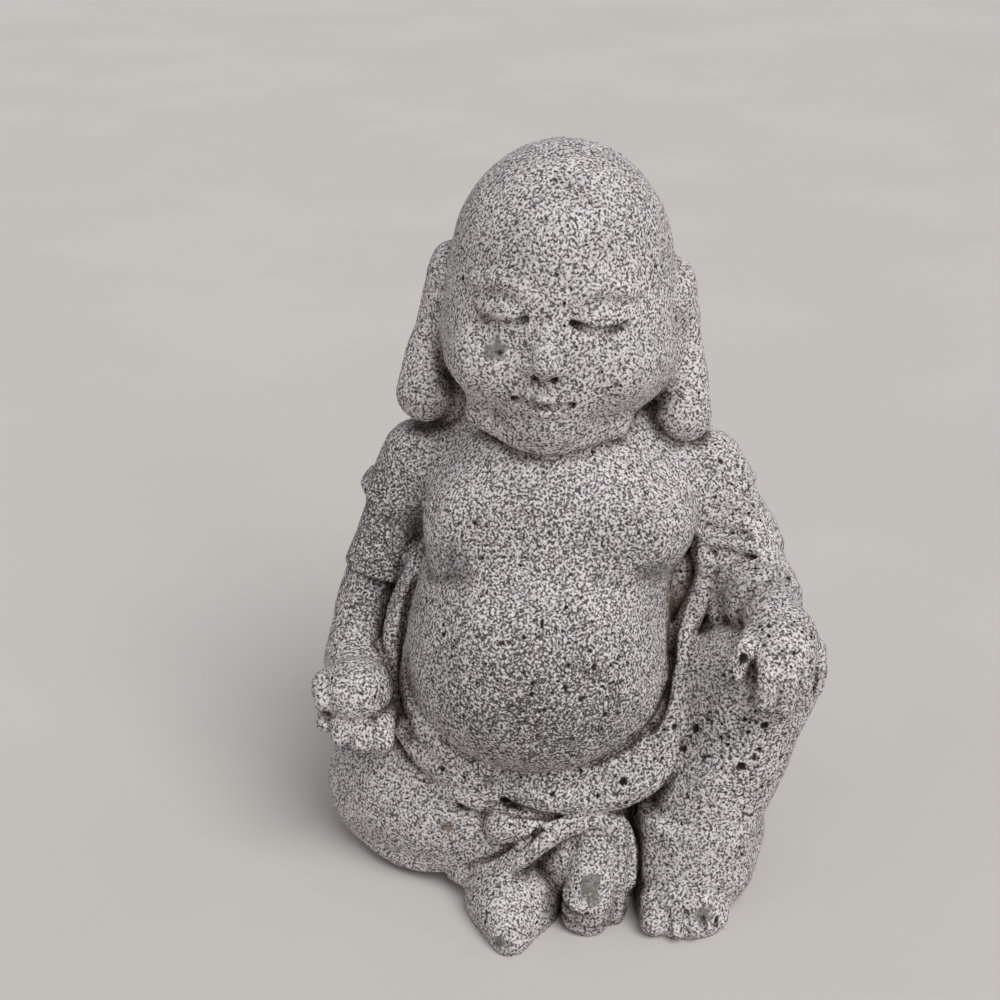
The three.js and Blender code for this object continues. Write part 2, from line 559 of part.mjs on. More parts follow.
// The largest connected skin alone, without the small pockets that blends shut in the stone.
function outerSkin({ position, faces }) {
  const parent = position.map((_, v) => v);
  const root = (v) => {
    while (parent[v] !== v) v = parent[v] = parent[parent[v]];
    return v;
  };
  for (const [a, b, c] of faces) {
    parent[root(a)] = root(b);
    parent[root(b)] = root(c);
  }
  const size = new Map();
  for (const [a] of faces) size.set(root(a), (size.get(root(a)) ?? 0) + 1);
  const [main] = [...size].reduce((s, entry) => (entry[1] > s[1] ? entry : s));
  return { position, faces: faces.filter(([a]) => root(a) === main) };
}

// Thinning

// A heap of edges, cheapest first.
class Heap {
  constructor() {
    this.items = [];
  }
  push(item) {
    const a = this.items;
    let i = a.push(item) - 1;
    while (i > 0) {
      const up = (i - 1) >> 1;
      if (a[up].cost <= a[i].cost) break;
      [a[up], a[i]] = [a[i], a[up]];
      i = up;
    }
  }
  pop() {
    const a = this.items;
    const top = a[0];
    const last = a.pop();
    if (a.length) {
      a[0] = last;
      let i = 0;
      for (;;) {
        const left = 2 * i + 1;
        const right = left + 1;
        let least = i;
        if (left < a.length && a[left].cost < a[least].cost) least = left;
        if (right < a.length && a[right].cost < a[least].cost) least = right;
        if (least === i) break;
        [a[least], a[i]] = [a[i], a[least]];
        i = least;
      }
    }
    return top;
  }
}

const cross = (a, b) => [a[1] * b[2] - a[2] * b[1], a[2] * b[0] - a[0] * b[2], a[0] * b[1] - a[1] * b[0]];
const minus = (a, b) => [a[0] - b[0], a[1] - b[1], a[2] - b[2]];
const dot = (a, b) => a[0] * b[0] + a[1] * b[1] + a[2] * b[2];
const faceNormal = (a, b, c) => cross(minus(b, a), minus(c, a));

// The squared distance to a plane as ten numbers, which add up over planes.
function planeQuadric(normal, point, weight) {
  const length = Math.sqrt(dot(normal, normal)) || 1;
  const [a, b, c] = normal.map((v) => v / length);
  const d = -(a * point[0] + b * point[1] + c * point[2]);
  return [a * a, a * b, a * c, a * d, b * b, b * c, b * d, c * c, c * d, d * d].map((v) => v * weight);
}

function quadricAt(q, [x, y, z]) {
  return (
    q[0] * x * x + 2 * q[1] * x * y + 2 * q[2] * x * z + 2 * q[3] * x +
    q[4] * y * y + 2 * q[5] * y * z + 2 * q[6] * y +
    q[7] * z * z + 2 * q[8] * z + q[9]
  );
}

// The point where the quadric is least, or null where that is undecided.
function quadricLow(q) {
  const rows = [[q[0], q[1], q[2]], [q[1], q[4], q[5]], [q[2], q[5], q[7]]];
  const right = [-q[3], -q[6], -q[8]];
  const whole = dot(rows[0], cross(rows[1], rows[2]));
  if (Math.abs(whole) < 1e-4 * (q[0] + q[4] + q[7]) ** 3) return null;
  return [0, 1, 2].map((i) => {
    const swapped = rows.map((row, r) => row.map((v, c) => (c === i ? right[r] : v)));
    return dot(swapped[0], cross(swapped[1], swapped[2])) / whole;
  });
}

const FLATTEST = 1e-3;
const TURN_LIMIT = 0.25;

// Collapses the edges that matter least until at most target faces are left.
function thin({ position, faces }, target) {
  const around = position.map(() => new Set());
  const quadric = position.map(() => new Array(10).fill(0));
  faces.forEach((f, n) => {
    const [a, b, c] = f.map((v) => position[v]);
    const normal = faceNormal(a, b, c);
    const area = Math.sqrt(dot(normal, normal)) / 2;
    const plane = planeQuadric(normal, a, area);
    for (const v of f) {
      around[v].add(n);
      plane.forEach((value, i) => (quadric[v][i] += value));
    }
  });
  const stamp = new Int32Array(position.length);
  const heap = new Heap();
  const neighbours = (v) => {
    const found = new Set();
    for (const n of around[v]) for (const w of faces[n]) if (w !== v) found.add(w);
    return found;
  };
  const offer = (a, b) => {
    const q = quadric[a].map((v, i) => v + quadric[b][i]);
    const middle = position[a].map((v, i) => (v + position[b][i]) / 2);
    const gap = minus(position[a], position[b]);
    let place = quadricLow(q);
    if (!place || Math.hypot(...minus(place, middle)) > 2 * Math.hypot(...gap)) {
      const options = [middle, position[a], position[b]];
      place = options.reduce((s, p) => (quadricAt(q, p) < quadricAt(q, s) ? p : s));
    }
    const cost = Math.max(quadricAt(q, place), 0) + FLATTEST * dot(gap, gap);
    heap.push({ cost, a, b, place, q, mark: stamp[a] + stamp[b] });
  };
  const keepsShape = (v, other, place) => {
    for (const n of around[v]) {
      if (faces[n].includes(other)) continue;
      const before = faceNormal(...faces[n].map((w) => position[w]));
      const after = faceNormal(...faces[n].map((w) => (w === v ? place : position[w])));
      const lengths = Math.sqrt(dot(before, before) * dot(after, after));
      if (dot(before, after) <= TURN_LIMIT * lengths || dot(after, after) < 1e-6) return false;
    }
    return true;
  };
  position.forEach((_, a) => neighbours(a).forEach((b) => b > a && offer(a, b)));
  let left = faces.length;
  while (left > target && heap.items.length) {
    const { a, b, place, q, mark } = heap.pop();
    if (mark !== stamp[a] + stamp[b] || !around[a].size || !around[b].size) continue;
    const beside = neighbours(b);
    const shared = [...neighbours(a)].filter((v) => beside.has(v));
    if (!beside.has(a) || shared.length !== 2) continue;
    if (!keepsShape(a, b, place) || !keepsShape(b, a, place)) continue;
    for (const n of [...around[b]]) {
      if (faces[n].includes(a)) {
        for (const v of faces[n]) around[v].delete(n);
        faces[n] = null;
        left--;
      } else {
        faces[n] = faces[n].map((v) => (v === b ? a : v));
        around[a].add(n);
      }
    }
    around[b].clear();
    position[a] = place;
    quadric[a] = q;
    stamp[a]++;
    stamp[b]++;
    for (const v of neighbours(a)) offer(a, v);
  }
  return { position, faces: faces.filter(Boolean) };
}

// Finishing

function asGeometry({ position, faces }) {
  const geometry = new THREE.BufferGeometry();
  geometry.setAttribute("position", new THREE.Float32BufferAttribute(position.flat(), 3));
  geometry.setIndex(faces.flat());
  return geometry;
}

const wasm = await Module();
wasm.setup();

function asSolid(geometry) {
  const bare = new THREE.BufferGeometry();
  bare.setAttribute("position", geometry.getAttribute("position"));
  bare.setIndex(geometry.index);
  const merged = mergeVertices(bare);
  return new wasm.Manifold(
    new wasm.Mesh({
      numProp: 3,
      vertProperties: merged.getAttribute("position").array,
      triVerts: new Uint32Array(merged.index.array),
    }),
  );
}

function fromSolid(solid) {
  const { vertProperties, triVerts } = solid.getMesh();
  const geometry = new THREE.BufferGeometry();
  geometry.setAttribute("position", new THREE.BufferAttribute(vertProperties, 3));
  geometry.setIndex(new THREE.BufferAttribute(triVerts, 1));
  geometry.computeVertexNormals();
  return geometry;
}

// The ground, as a slab whose top is z = 0.
function ground() {
  const depth = 40;
  const slab = new THREE.BoxGeometry(400, 400, depth);
  slab.translate(0, 0, -depth / 2);
  return slab;
}

const form = thin(outerSkin(skin(statue(), REACH, CELL)), TRIANGLES);
const stone = new THREE.MeshStandardMaterial(STONE);
const figure = new THREE.Mesh(fromSolid(asSolid(asGeometry(form)).subtract(asSolid(ground()))), stone);
figure.name = "buddha_statue";

const group = new THREE.Group();
group.add(figure);

export default group;
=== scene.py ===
"""A laughing buddha statue in cast grit stone, on a plain pale floor.

The solid's form is written as a distance field: each function under "The statue's forms" returns
field(x, y, z) over arrays of millimetres, negative inside the stone. The field is skinned finely,
the skin is worn and pitted, and the finished mesh stands for the whole statue.
"""
import math

import bpy
import numpy as np
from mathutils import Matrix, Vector
from mathutils.kdtree import KDTree


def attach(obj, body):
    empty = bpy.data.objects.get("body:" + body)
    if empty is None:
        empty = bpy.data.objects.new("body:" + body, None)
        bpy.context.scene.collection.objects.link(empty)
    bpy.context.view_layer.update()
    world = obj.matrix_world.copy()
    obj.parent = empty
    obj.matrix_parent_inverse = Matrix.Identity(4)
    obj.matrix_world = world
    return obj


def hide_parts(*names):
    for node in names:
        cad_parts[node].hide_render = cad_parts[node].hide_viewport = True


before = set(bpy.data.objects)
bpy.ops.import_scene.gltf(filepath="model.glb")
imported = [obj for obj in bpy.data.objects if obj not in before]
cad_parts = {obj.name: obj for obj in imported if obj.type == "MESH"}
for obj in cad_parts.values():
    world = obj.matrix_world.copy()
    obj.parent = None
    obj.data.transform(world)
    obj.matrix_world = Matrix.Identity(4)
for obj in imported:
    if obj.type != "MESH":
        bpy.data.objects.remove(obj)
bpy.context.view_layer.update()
MM = 0.001

# Driving dimensions, millimetres

BED = 4
REACH_LOW = np.array([-76.0, -76.0, -BED])
REACH_HIGH = np.array([80.0, 56.0, 204.0])
CAPE = {
    "top": 104,
    "middle": 6,
    "base": [56, 40],
    "neck": [44, 29],
    "tuck": 8,
    "tuck_height": 16,
    "swags": [[98, 14, 3], [88, 20, 3.2], [74, 22, 3.6], [58, 22, 3.8], [40, 20, 4]],
}

# Fields to build with

CURVE_STEPS = 4
FAR = 10


def euler(turn):
    """The matrix of a turn in degrees about x, y and z, each about the axes already turned."""
    a, b, c = (math.radians(t) for t in turn)
    about_x = np.array([[1, 0, 0], [0, math.cos(a), -math.sin(a)], [0, math.sin(a), math.cos(a)]])
    about_y = np.array([[math.cos(b), 0, math.sin(b)], [0, 1, 0], [-math.sin(b), 0, math.cos(b)]])
    about_z = np.array([[math.cos(c), -math.sin(c), 0], [math.sin(c), math.cos(c), 0], [0, 0, 1]])
    return about_x @ about_y @ about_z


def ellipsoid(center, radii, turn=(0, 0, 0)):
    """Distance to an ellipsoid, near enough to true for blending."""
    m = euler(turn)

    def field(x, y, z):
        d = [x - center[0], y - center[1], z - center[2]]
        local = [(m[0, i] * d[0] + m[1, i] * d[1] + m[2, i] * d[2]) / radii[i] for i in range(3)]
        k = np.sqrt(sum(v * v for v in local))
        slope = np.sqrt(sum((v / r) ** 2 for v, r in zip(local, radii)))
        return np.where(slope > 1e-9, k * (k - 1) / np.maximum(slope, 1e-9), -min(radii))

    return field


def smooth_route(points):
    """Places along a smooth curve through points, given as rows of x, y and z."""
    if len(points) == 2:
        return points
    ends = [2 * points[0] - points[1], *points, 2 * points[-1] - points[-2]]
    route = []
    for i in range(len(points) - 1):
        before, start, end, after = ends[i:i + 4]
        leave, arrive = (end - before) / 2, (after - start) / 2
        for step in range(CURVE_STEPS):
            t = step / CURVE_STEPS
            square = -3 * start + 3 * end - 2 * leave - arrive
            cube = 2 * start - 2 * end + leave + arrive
            route.append(start + leave * t + square * t * t + cube * t ** 3)
    return np.array([*route, points[-1]])


def limb(points):
    """A tube along a smooth curve through points of x, y, z and radius."""
    points = np.array(points, float)
    route = smooth_route(points[:, :3])
    count = len(route) - 1
    place = np.arange(count + 1) / count * (len(points) - 1)
    radius = np.interp(place, np.arange(len(points)), points[:, 3])
    low, high = route.min(0), route.max(0)
    middle = (low + high) / 2
    reach = np.linalg.norm(high - low) / 2 + radius.max()

    def near_field(x, y, z):
        best = np.full(x.shape, np.inf)
        for i in range(count):
            a, e = route[i], route[i + 1] - route[i]
            px, py, pz = x - a[0], y - a[1], z - a[2]
            h = np.clip((px * e[0] + py * e[1] + pz * e[2]) / (e @ e + 1e-12), 0, 1)
            gap = np.sqrt((px - e[0] * h) ** 2 + (py - e[1] * h) ** 2 + (pz - e[2] * h) ** 2)
            best = np.minimum(best, gap - radius[i] - (radius[i + 1] - radius[i]) * h)
        return best

    def field(x, y, z):
        value = np.sqrt((x - middle[0]) ** 2 + (y - middle[1]) ** 2 + (z - middle[2]) ** 2) - reach
        near = value <= FAR
        if near.any():
            value[near] = near_field(x[near], y[near], z[near])
        return value

    return field


def flared(points, k):
    """A tube as above, cut square across its last point, with the edge rounded by k."""
    a, b = points[-2:]
    return overlap(k, limb(points), behind(b, [b[0] - a[0], b[1] - a[1], b[2] - a[2]]))


def behind(point, normal):
    """Half of space: everything behind the plane through point, whose outward normal is normal."""
    n = np.array(normal) / np.linalg.norm(normal)
    return lambda x, y, z: (x - point[0]) * n[0] + (y - point[1]) * n[1] + (z - point[2]) * n[2]


def smooth_min(a, b, k):
    """The lesser of two values, rounded where they come within k of each other."""
    h = np.maximum(k - np.abs(a - b), 0) / k
    return np.minimum(a, b) - h * h * k * 0.25


def blend(k, *fields):
    """Fields melted together, with a fillet about k wide."""
    def field(x, y, z):
        d = fields[0](x, y, z)
        for other in fields[1:]:
            d = smooth_min(d, other(x, y, z), k)
        return d

    return field


def carve(k, base, *cutters):
    """The first field with the others cut away, rims rounded by k."""
    def field(x, y, z):
        d = base(x, y, z)
        for cut in cutters:
            d = -smooth_min(-d, cut(x, y, z), k)
        return d

    return field


def overlap(k, a, b):
    """What is inside both fields, with the shared edge rounded by k."""
    return lambda x, y, z: -smooth_min(-a(x, y, z), -b(x, y, z), k)


def creased(base, creases):
    """A field pressed in along creases, each of a depth, a reach to each side and points."""
    lines = [(depth, reach, limb([[*p, 0] for p in points])) for depth, reach, points in creases]

    def field(x, y, z):
        d = base(x, y, z)
        for depth, reach, line in lines:
            t = np.clip(1 - line(x, y, z) / reach, 0, 1)
            d += depth * t * t * (3 - 2 * t)
        return d

    return field


def mirrored(field):
    """A field repeated on both sides of the plane x = 0."""
    return lambda x, y, z: field(np.abs(x), y, z)


def moved(field, by):
    """A field carried along x, y and z."""
    return lambda x, y, z: field(x - by[0], y - by[1], z - by[2])


def turned(field, pivot, turn):
    """A field turned about a pivot, in degrees about x, y and z."""
    m = euler(turn)

    def place(x, y, z):
        d = [x - pivot[0], y - pivot[1], z - pivot[2]]
        return [pivot[i] + m[0, i] * d[0] + m[1, i] * d[1] + m[2, i] * d[2] for i in range(3)]

    return lambda x, y, z: field(*place(x, y, z))


# The statue's forms


# Bare torso: upper back, shoulders, chest and the round belly.
def torso():
    back = ellipsoid([0, 8, 74], [41, 30, 52])
    shoulders = limb([[-36, 4, 110, 12], [-20, 7, 117, 14], [0, 8, 119, 15], [20, 7, 118, 14],
        [37, 4, 111, 12]])
    neck = limb([[-1, 4, 116, 22], [-1, 3, 140, 20]])
    chest = ellipsoid([1, -7, 107], [33.5, 27, 23])
    breasts = blend(3,
        ellipsoid([-16, -20, 103], [18, 13, 13.5]),
        ellipsoid([18, -19, 104], [17.5, 14, 13]))
    belly = blend(10, ellipsoid([-4, -13, 72], [35, 38.5, 37]), ellipsoid([-4, -14, 59],
        [35.6, 34, 25]))
    upper = blend(8, blend(12, back, shoulders, chest, neck), breasts)
    return blend(9, upper, belly)


# Seat and both legs under the robe.
def legs():
    seat = ellipsoid([0, 6, 20], [57, 42, 28])
    folded_thigh = limb([[-22, 0, 24, 20], [-38, -8, 23, 20], [-46, -12, 20, 18]])
    folded_shin = limb([[-46, -14, 15, 16], [-30, -26, 16, 15], [-8, -29.5, 17, 14]])
    lap_right = ellipsoid([-28, -14, 25], [30, 25, 17])
    raised_thigh = limb([[24, 2, 40, 22], [44, -12, 56, 19], [56, -22, 65, 14]])
    raised_shin = limb([[56, -24, 65, 14], [50, -28, 46, 15], [44, -30, 30, 15]])
    lap_left = ellipsoid([40, -2, 34], [24, 32, 34])
    return blend(7, seat, folded_thigh, folded_shin, lap_right, raised_thigh, raised_shin, lap_left)


# The trouser leg below the raised knee, a step wider than the cloth above it.
def trouser():
    drum = blend(3,
        limb([[40.6, -31, 24, 17.4], [40.2, -32, 14, 17.8]]),
        ellipsoid([52.6, -27, 20], [7, 9, 13]))
    return overlap(1.6, drum, behind([42, -40, 30.4], [0.03, -0.12, 1]))


# The sleeve of the arm that lies along the side, in overlapping lengths, with the bare shoulder.
def right_arm():
    shoulder = limb([[-38, 3, 111, 12], [-42.5, 2, 104, 10.6]])
    lengths = blend(0.8,
        flared([[-44, 1, 102, 9.6], [-45.4, 0.5, 96, 8.9], [-47.6, -1, 88, 9.2],
            [-49.8, -2.5, 79.6, 10.4]], 1.2),
        limb([[-49.5, -1, 84, 8], [-52.8, -5, 74, 8.2], [-54.8, -9, 65, 8], [-56, -14, 57, 8.4]]),
        limb([[-54, -8, 64, 8], [-54.5, -15, 59, 8.6], [-53, -23, 56, 9]]))
    edge = limb([[-52, 8, 106, 1.4], [-53.8, 1, 104.5, 1.5], [-51, -6, 103, 1]])
    return blend(1.2, shoulder, lengths, edge)


# The sleeve of the arm that leads to the raised knee.
def left_arm():
    shoulder = limb([[37, 3, 112, 12], [41, 2, 107, 11]])
    lengths = blend(0.8,
        flared([[38.5, 2, 113, 10.4], [41, 1.4, 109, 10.8], [42.6, 0.8, 106, 11.3]], 1),
        flared([[40.5, 0.6, 106, 11], [44, -0.6, 99, 12], [47.4, -2, 91.5, 13.8]], 1.5),
        flared([[45, 0, 99, 9.6], [47.5, -3.5, 93, 10.6], [49.6, -7.5, 88.5, 12]], 1.2),
        flared([[48, -2, 92, 9.8], [51, -8.5, 87.5, 11.2], [53, -14, 85.4, 11.6]], 1.2),
        flared([[52, -7, 87, 9.6], [54.5, -15, 85.4, 10.4], [56.5, -21, 84.6, 10]], 1.8))
    wrist = limb([[55, -14, 85, 7.5], [58.5, -27, 83.5, 7.6]])
    folds = blend(1,
        limb([[37.5, -9.5, 108.5, 1.8], [42.5, -7.8, 109.6, 2.4], [50, -7, 106.6, 2.6],
            [54, -4.6, 102.6, 2.4]]),
        limb([[39, -12.6, 98.6, 1.8], [46.5, -13, 99.4, 2.5], [53, -11, 98, 2.8],
            [58, -5.6, 96, 2.6]]))
    hanging = limb([[42, -11, 85, 4], [44.5, -12, 78.5, 5]])
    return blend(1.2, shoulder, lengths, folds, hanging, wrist)


# The hand turned up, four fingers below and the thumb outside, holding a ball.
def ball_hand():
    ball = ellipsoid([-51.6, -31.5, 58], [9.8, 10, 8.2])
    palm = ellipsoid([-50.8, -31.5, 50], [10, 9.4, 5.4])
    thumb = limb([[-59, -26, 58, 3.4], [-60.5, -33, 60, 3], [-59.5, -38, 57.5, 2.6]])
    fingers = blend(0.5,
        limb([[-59.2, -34, 51.5, 2.6], [-59.6, -36, 49.4, 2.5]]),
        limb([[-54.6, -37, 51.4, 3], [-54.6, -38.8, 47.8, 3]]),
        limb([[-49, -38.2, 51, 3.1], [-49, -40.2, 47, 3.1]]),
        limb([[-43.4, -37.2, 51.6, 3.1], [-43.4, -39.4, 47.2, 3.1]]))
    return blend(0.8, ball, blend(1.5, palm, thumb), fingers)


# The hand laid over the raised knee.
def knee_hand():
    back_of_hand = ellipsoid([60, -32.5, 82], [9.2, 11, 6.5], [24, 0, 0])
    thumb = limb([[54, -30, 82, 3.6], [50.5, -38, 80.5, 3.1], [48.5, -42, 76.5, 2.7]])
    fingers = blend(0.6,
        limb([[56.2, -38, 80, 3.5], [56.7, -43, 76, 3.2], [56.4, -44.2, 69.5, 2.8]]),
        limb([[60.6, -37, 80, 3.4], [61.4, -41.8, 76, 3.1], [61.2, -42.8, 69, 2.8]]),
        limb([[65, -35, 79.5, 3.2], [65.6, -39, 75.5, 3], [65.4, -40, 69, 2.7]]),
        limb([[68.6, -31, 78.5, 3], [69.2, -34.5, 75, 2.7], [69, -35.5, 70, 2.4]]))
    return blend(0.9, blend(2, back_of_hand, fingers), thumb)


# The robe where it lies open round the belly: an edge down each side and a doubled rim below.
def robe_opening():
    right_edge = limb([[-34.6, -11, 93, 2.2], [-38.5, -13, 85, 2.6], [-42, -14.5, 76, 3.2],
        [-43.6, -16.5, 66, 3.8], [-43, -19.5, 55, 4.4], [-39, -25, 45.5, 5], [-32, -31, 39.4, 5.2],
        [-25, -35, 36.4, 5], [-20, -36.5, 36.6, 4.8]])
    left_edge = limb([[38, -9, 106, 2.6], [37.4, -11, 99, 2.8], [39.8, -13, 92, 3],
        [39.8, -14, 87, 3.2],
        [37.2, -16, 80, 3.4], [35, -19, 74, 3.6], [34.5, -21, 66, 4], [35, -25, 58, 4.6]])
    outer_rim = limb([[35, -25, 58, 4.4], [33.5, -30, 50.5, 5], [30, -34, 44, 5.6],
        [23, -37.5, 38.5, 5.8],
        [12, -39, 34.5, 5.8], [0, -38.5, 34, 5.6], [-9, -37, 35, 5]])
    inner_rim = limb([[33, -22, 64, 3], [31.5, -27, 54, 3.6], [26, -33, 47, 3.8],
        [16, -36.5, 42, 4],
        [2, -37.5, 39.5, 4], [-9, -36.5, 38.5, 3.8], [-18, -34.5, 38, 3]])
    lining = limb([[-35, -6, 84, 8], [-38, -9, 66, 9], [-34, -14, 50, 10], [-20, -22, 40, 9]])
    lining_left = limb([[33, -4, 88, 8], [34, -8, 70, 9], [33, -15, 54, 10], [18, -24, 42, 9]])
    filling = limb([[-37.5, -20, 66, 3], [-37, -26, 56, 4], [-32, -31.5, 48, 4.5],
        [-24, -35.5, 42, 4.5],
        [-15, -37, 40, 3.5]])
    return blend(1.5, right_edge, left_edge, blend(1, outer_rim, inner_rim), lining, lining_left,
        filling)


# The knot of the sash below the rim, with one loop, and the tail that hangs to the ground
# inside the arch of the hem.
def sash():
    wrap = limb([[-26, -35, 31, 4.4], [-18, -38, 31, 4.6], [-11, -37.5, 33, 4]])
    loop = limb([[-10.4, -42, 25, 5.4], [-4.5, -42.6, 26.4, 4.1], [2.5, -41, 29.4, 1.8]])
    lobe = limb([[14.6, -42, 20.5, 6], [14.2, -45.5, 15, 6.7], [13.4, -48.5, 8, 6.7],
        [13, -49.2, 3, 6.2]])
    wrinkles = blend(1,
        ellipsoid([13, -50, 9.4], [6.9, 6, 1.3], [14, 8, 0]),
        ellipsoid([12.8, -50.2, 6], [6.9, 6, 1.3], [14, 8, 0]),
        ellipsoid([12.6, -50, 2.6], [6.5, 5.8, 1.3], [14, 8, 0]))
    return blend(1.2, wrap, loop, blend(0.6, lobe, wrinkles))


# The hem: from beside the folded leg's foot up over the sash tail and down on its other side.
def hem():
    band = limb([[-24, -38, 5.4, 3], [-19.2, -42.5, 7.4, 3.2], [-13.4, -44.6, 10.6, 3.4],
        [-8, -45.4, 15, 3.4], [-3.2, -44.8, 20, 3.6], [1.9, -43.4, 24.4, 3.8], [8, -41.6, 27.6, 4],
        [15.8, -40.6, 28.6, 4],
        [20.6, -42, 24.4, 4], [22, -44, 17, 3.8], [21.4, -45.6, 9, 3.8], [19.4, -46.6, 3, 4]])
    web = ellipsoid([11.5, -36, 11], [13.5, 11.5, 17])
    return blend(2, band, web)


# The foot that comes out from under the folded leg.
def right_foot():
    return blend(4,
        limb([[-13, -36, 5, 9], [-9, -46, 4.4, 9.6], [-7, -56, 3.4, 7.4], [-6.5, -61.5, 2.6, 4.6]]),
        ellipsoid([-7, -45, 3], [13, 13, 9]))


# The foot below the raised knee, with its five toes.
def left_foot():
    instep = blend(4,
        ellipsoid([38.5, -38, 6], [12.4, 14, 14]),
        ellipsoid([38.5, -44.5, 4], [12, 9, 9.5]))
    toes = blend(0.5,
        limb([[31, -47, 8, 4], [31.2, -51.2, 4, 3.9]]),
        limb([[37.1, -49, 8, 2.8], [37.4, -53.4, 3.6, 2.5]]),
        limb([[41.6, -48.4, 7.6, 2.5], [41.9, -52.6, 3.4, 2.3]]),
        limb([[45.4, -46.8, 7, 2.2], [45.8, -50.6, 3.4, 2]]),
        limb([[48.6, -43.6, 6.4, 2], [49.2, -47, 3.2, 1.7]]))
    return blend(1, instep, toes)


# Cloth edges and folds over the legs.
def leg_folds():
    return blend(2,
        limb([[-61, -12, 8, 3.4], [-50, -25, 6, 3.6], [-38, -33, 5.5, 3.6], [-26, -37.6, 9, 3.4],
          [-14, -41, 17, 3], [-6, -42, 24, 2.6], [-1, -40.6, 29, 2.4]]),
        limb([[-54, -18, 36, 3], [-43, -27, 32, 3.2], [-33, -34, 28.5, 3]]),
        limb([[-48, -30, 20, 2.6], [-36, -36, 21, 3], [-26, -39.5, 24, 2.6]]),
        limb([[60, -8, 58, 3], [60, -22, 44, 3.2], [56, -34, 36, 3]]))


# Half width and depth of the robe's back at a height. It tucks in where it meets the ground.
def cape_radii(z):
    t = np.clip(z / CAPE["top"], 0, 1)
    tuck = CAPE["tuck"] * np.maximum(1 - z / CAPE["tuck_height"], 0) ** 2
    return [base + (neck - base) * t - tuck for base, neck in zip(CAPE["base"], CAPE["neck"])]


# A fold hanging across the back: level at the sides' height z and lower by drop in the middle.
def swag(z, drop, radius):
    points = []
    for angle in range(-84, 85, 24):
        turn = math.radians(angle)
        height = z - drop * math.cos(turn) ** 2
        wide, deep = cape_radii(height)
        side = (wide - 0.4 * radius) * math.sin(turn)
        points.append([side, CAPE["middle"] + (deep - 0.4 * radius) * math.cos(turn), height,
            radius])
    return limb(points)


# The robe across the back: a bell with a rolled top edge and swags that fall from it.
def robe_back():
    def bell(x, y, z):
        wide, deep = cape_radii(z)
        u = x / wide
        v = (y - CAPE["middle"]) / deep
        k = np.sqrt(u * u + v * v)
        return k * (k - 1) / np.sqrt((u / wide) ** 2 + (v / deep) ** 2 + 1e-9)

    low_cape = overlap(2, bell, behind([0, 30, CAPE["top"]], [0, 0.25, 1]))
    cape = overlap(4, low_cape, behind([0, -2, 60], [0, -1, -0.1]))
    folds = [swag(CAPE["top"] + 1, 6, 3.4)]
    folds += [swag(z, drop, radius) for z, drop, radius in CAPE["swags"]]
    return blend(3, cape, *folds)


def head():
    cranium = ellipsoid([0, 3, 168], [28.7, 31, 32])
    jaw = ellipsoid([1.2, -3, 147.5], [29.8, 27, 19])
    brows = mirrored(limb([[4, -26.6, 167.6, 1.5], [11.5, -25.6, 171.4, 1.6],
        [19.5, -20.8, 169.6, 1.3]]))
    lids = mirrored(ellipsoid([11.6, -23.6, 163.6], [6.6, 4, 3.5], [0, 0, 16]))
    cheeks = mirrored(ellipsoid([14.5, -20, 149], [10.5, 9, 8.5]))
    nose = limb([[0, -25.4, 166.5, 2.4], [0, -28.8, 158.5, 2.7], [0, -31.4, 153, 3.5]])
    wings = mirrored(ellipsoid([4, -29, 151.4], [2.6, 3.2, 2.3]))
    mouth = ellipsoid([0, -25, 142.5], [10, 5, 6])
    upper_lip = mirrored(limb([[0, -30.3, 143.6, 1.5], [3.4, -29.9, 144, 1.5],
        [8, -27.2, 144.3, 1]]))
    lower_lip = limb([[-6.5, -27.8, 142, 1.3], [0, -29.6, 140.2, 1.9], [6.5, -27.8, 142, 1.3]])
    chin = ellipsoid([0, -22.5, 134.5], [9, 6.5, 5])
    fold = limb([[-17, -16, 133, 4], [0, -22, 129.5, 4.4], [17, -16, 133, 4]])
    face = blend(5, blend(14, cranium, jaw), cheeks, mouth, chin, fold)
    return blend(1, blend(2.5, face, brows, lids, nose), wings, upper_lip, lower_lip)


def nostrils():
    return mirrored(ellipsoid([2.2, -31, 149.6], [0.9, 1.4, 0.9]))


# The lines between the closed lids and between the lips.
def face_creases():
    return [
        [1.1, 1.7, [[5.5, -27.6, 163.2], [11.8, -27.4, 161.2], [18, -23, 162.4]]],
        [1.1, 1.7, [[-5.5, -27.6, 163.2], [-11.8, -27.4, 161.2], [-18, -23, 162.4]]],
        [1.2, 1.7, [[-10, -27, 144.2], [-4, -30.3, 142.2], [4, -30.3, 142.2], [10, -27, 144.2]]],
    ]


# Both ears, each a plate with a narrow hollow and a long heavy lobe.
def ears():
    plate = ellipsoid([30.5, 6, 158.5], [5.2, 8, 12])
    root = limb([[25, 6, 144, 7], [26, 4, 128, 8]])
    lobe = limb([[31, 5, 153, 5], [33.2, 2, 143, 6.2], [33.8, -1.5, 131.6, 8]])
    hollow = limb([[33, -1.6, 167, 0.9], [35, -1.6, 162, 1.3], [34.6, -1.2, 156.5, 0.9]])
    return mirrored(carve(0.8, blend(2, blend(5, plate, lobe), root), hollow))


# The open slit between the chest and the robe's edge beside the raised arm.
def robe_cuts():
    return limb([[35, -15, 107, 0.8], [35, -15, 98, 1.8], [34.6, -15, 90, 2.4],
        [33.6, -16, 85, 1.4]])


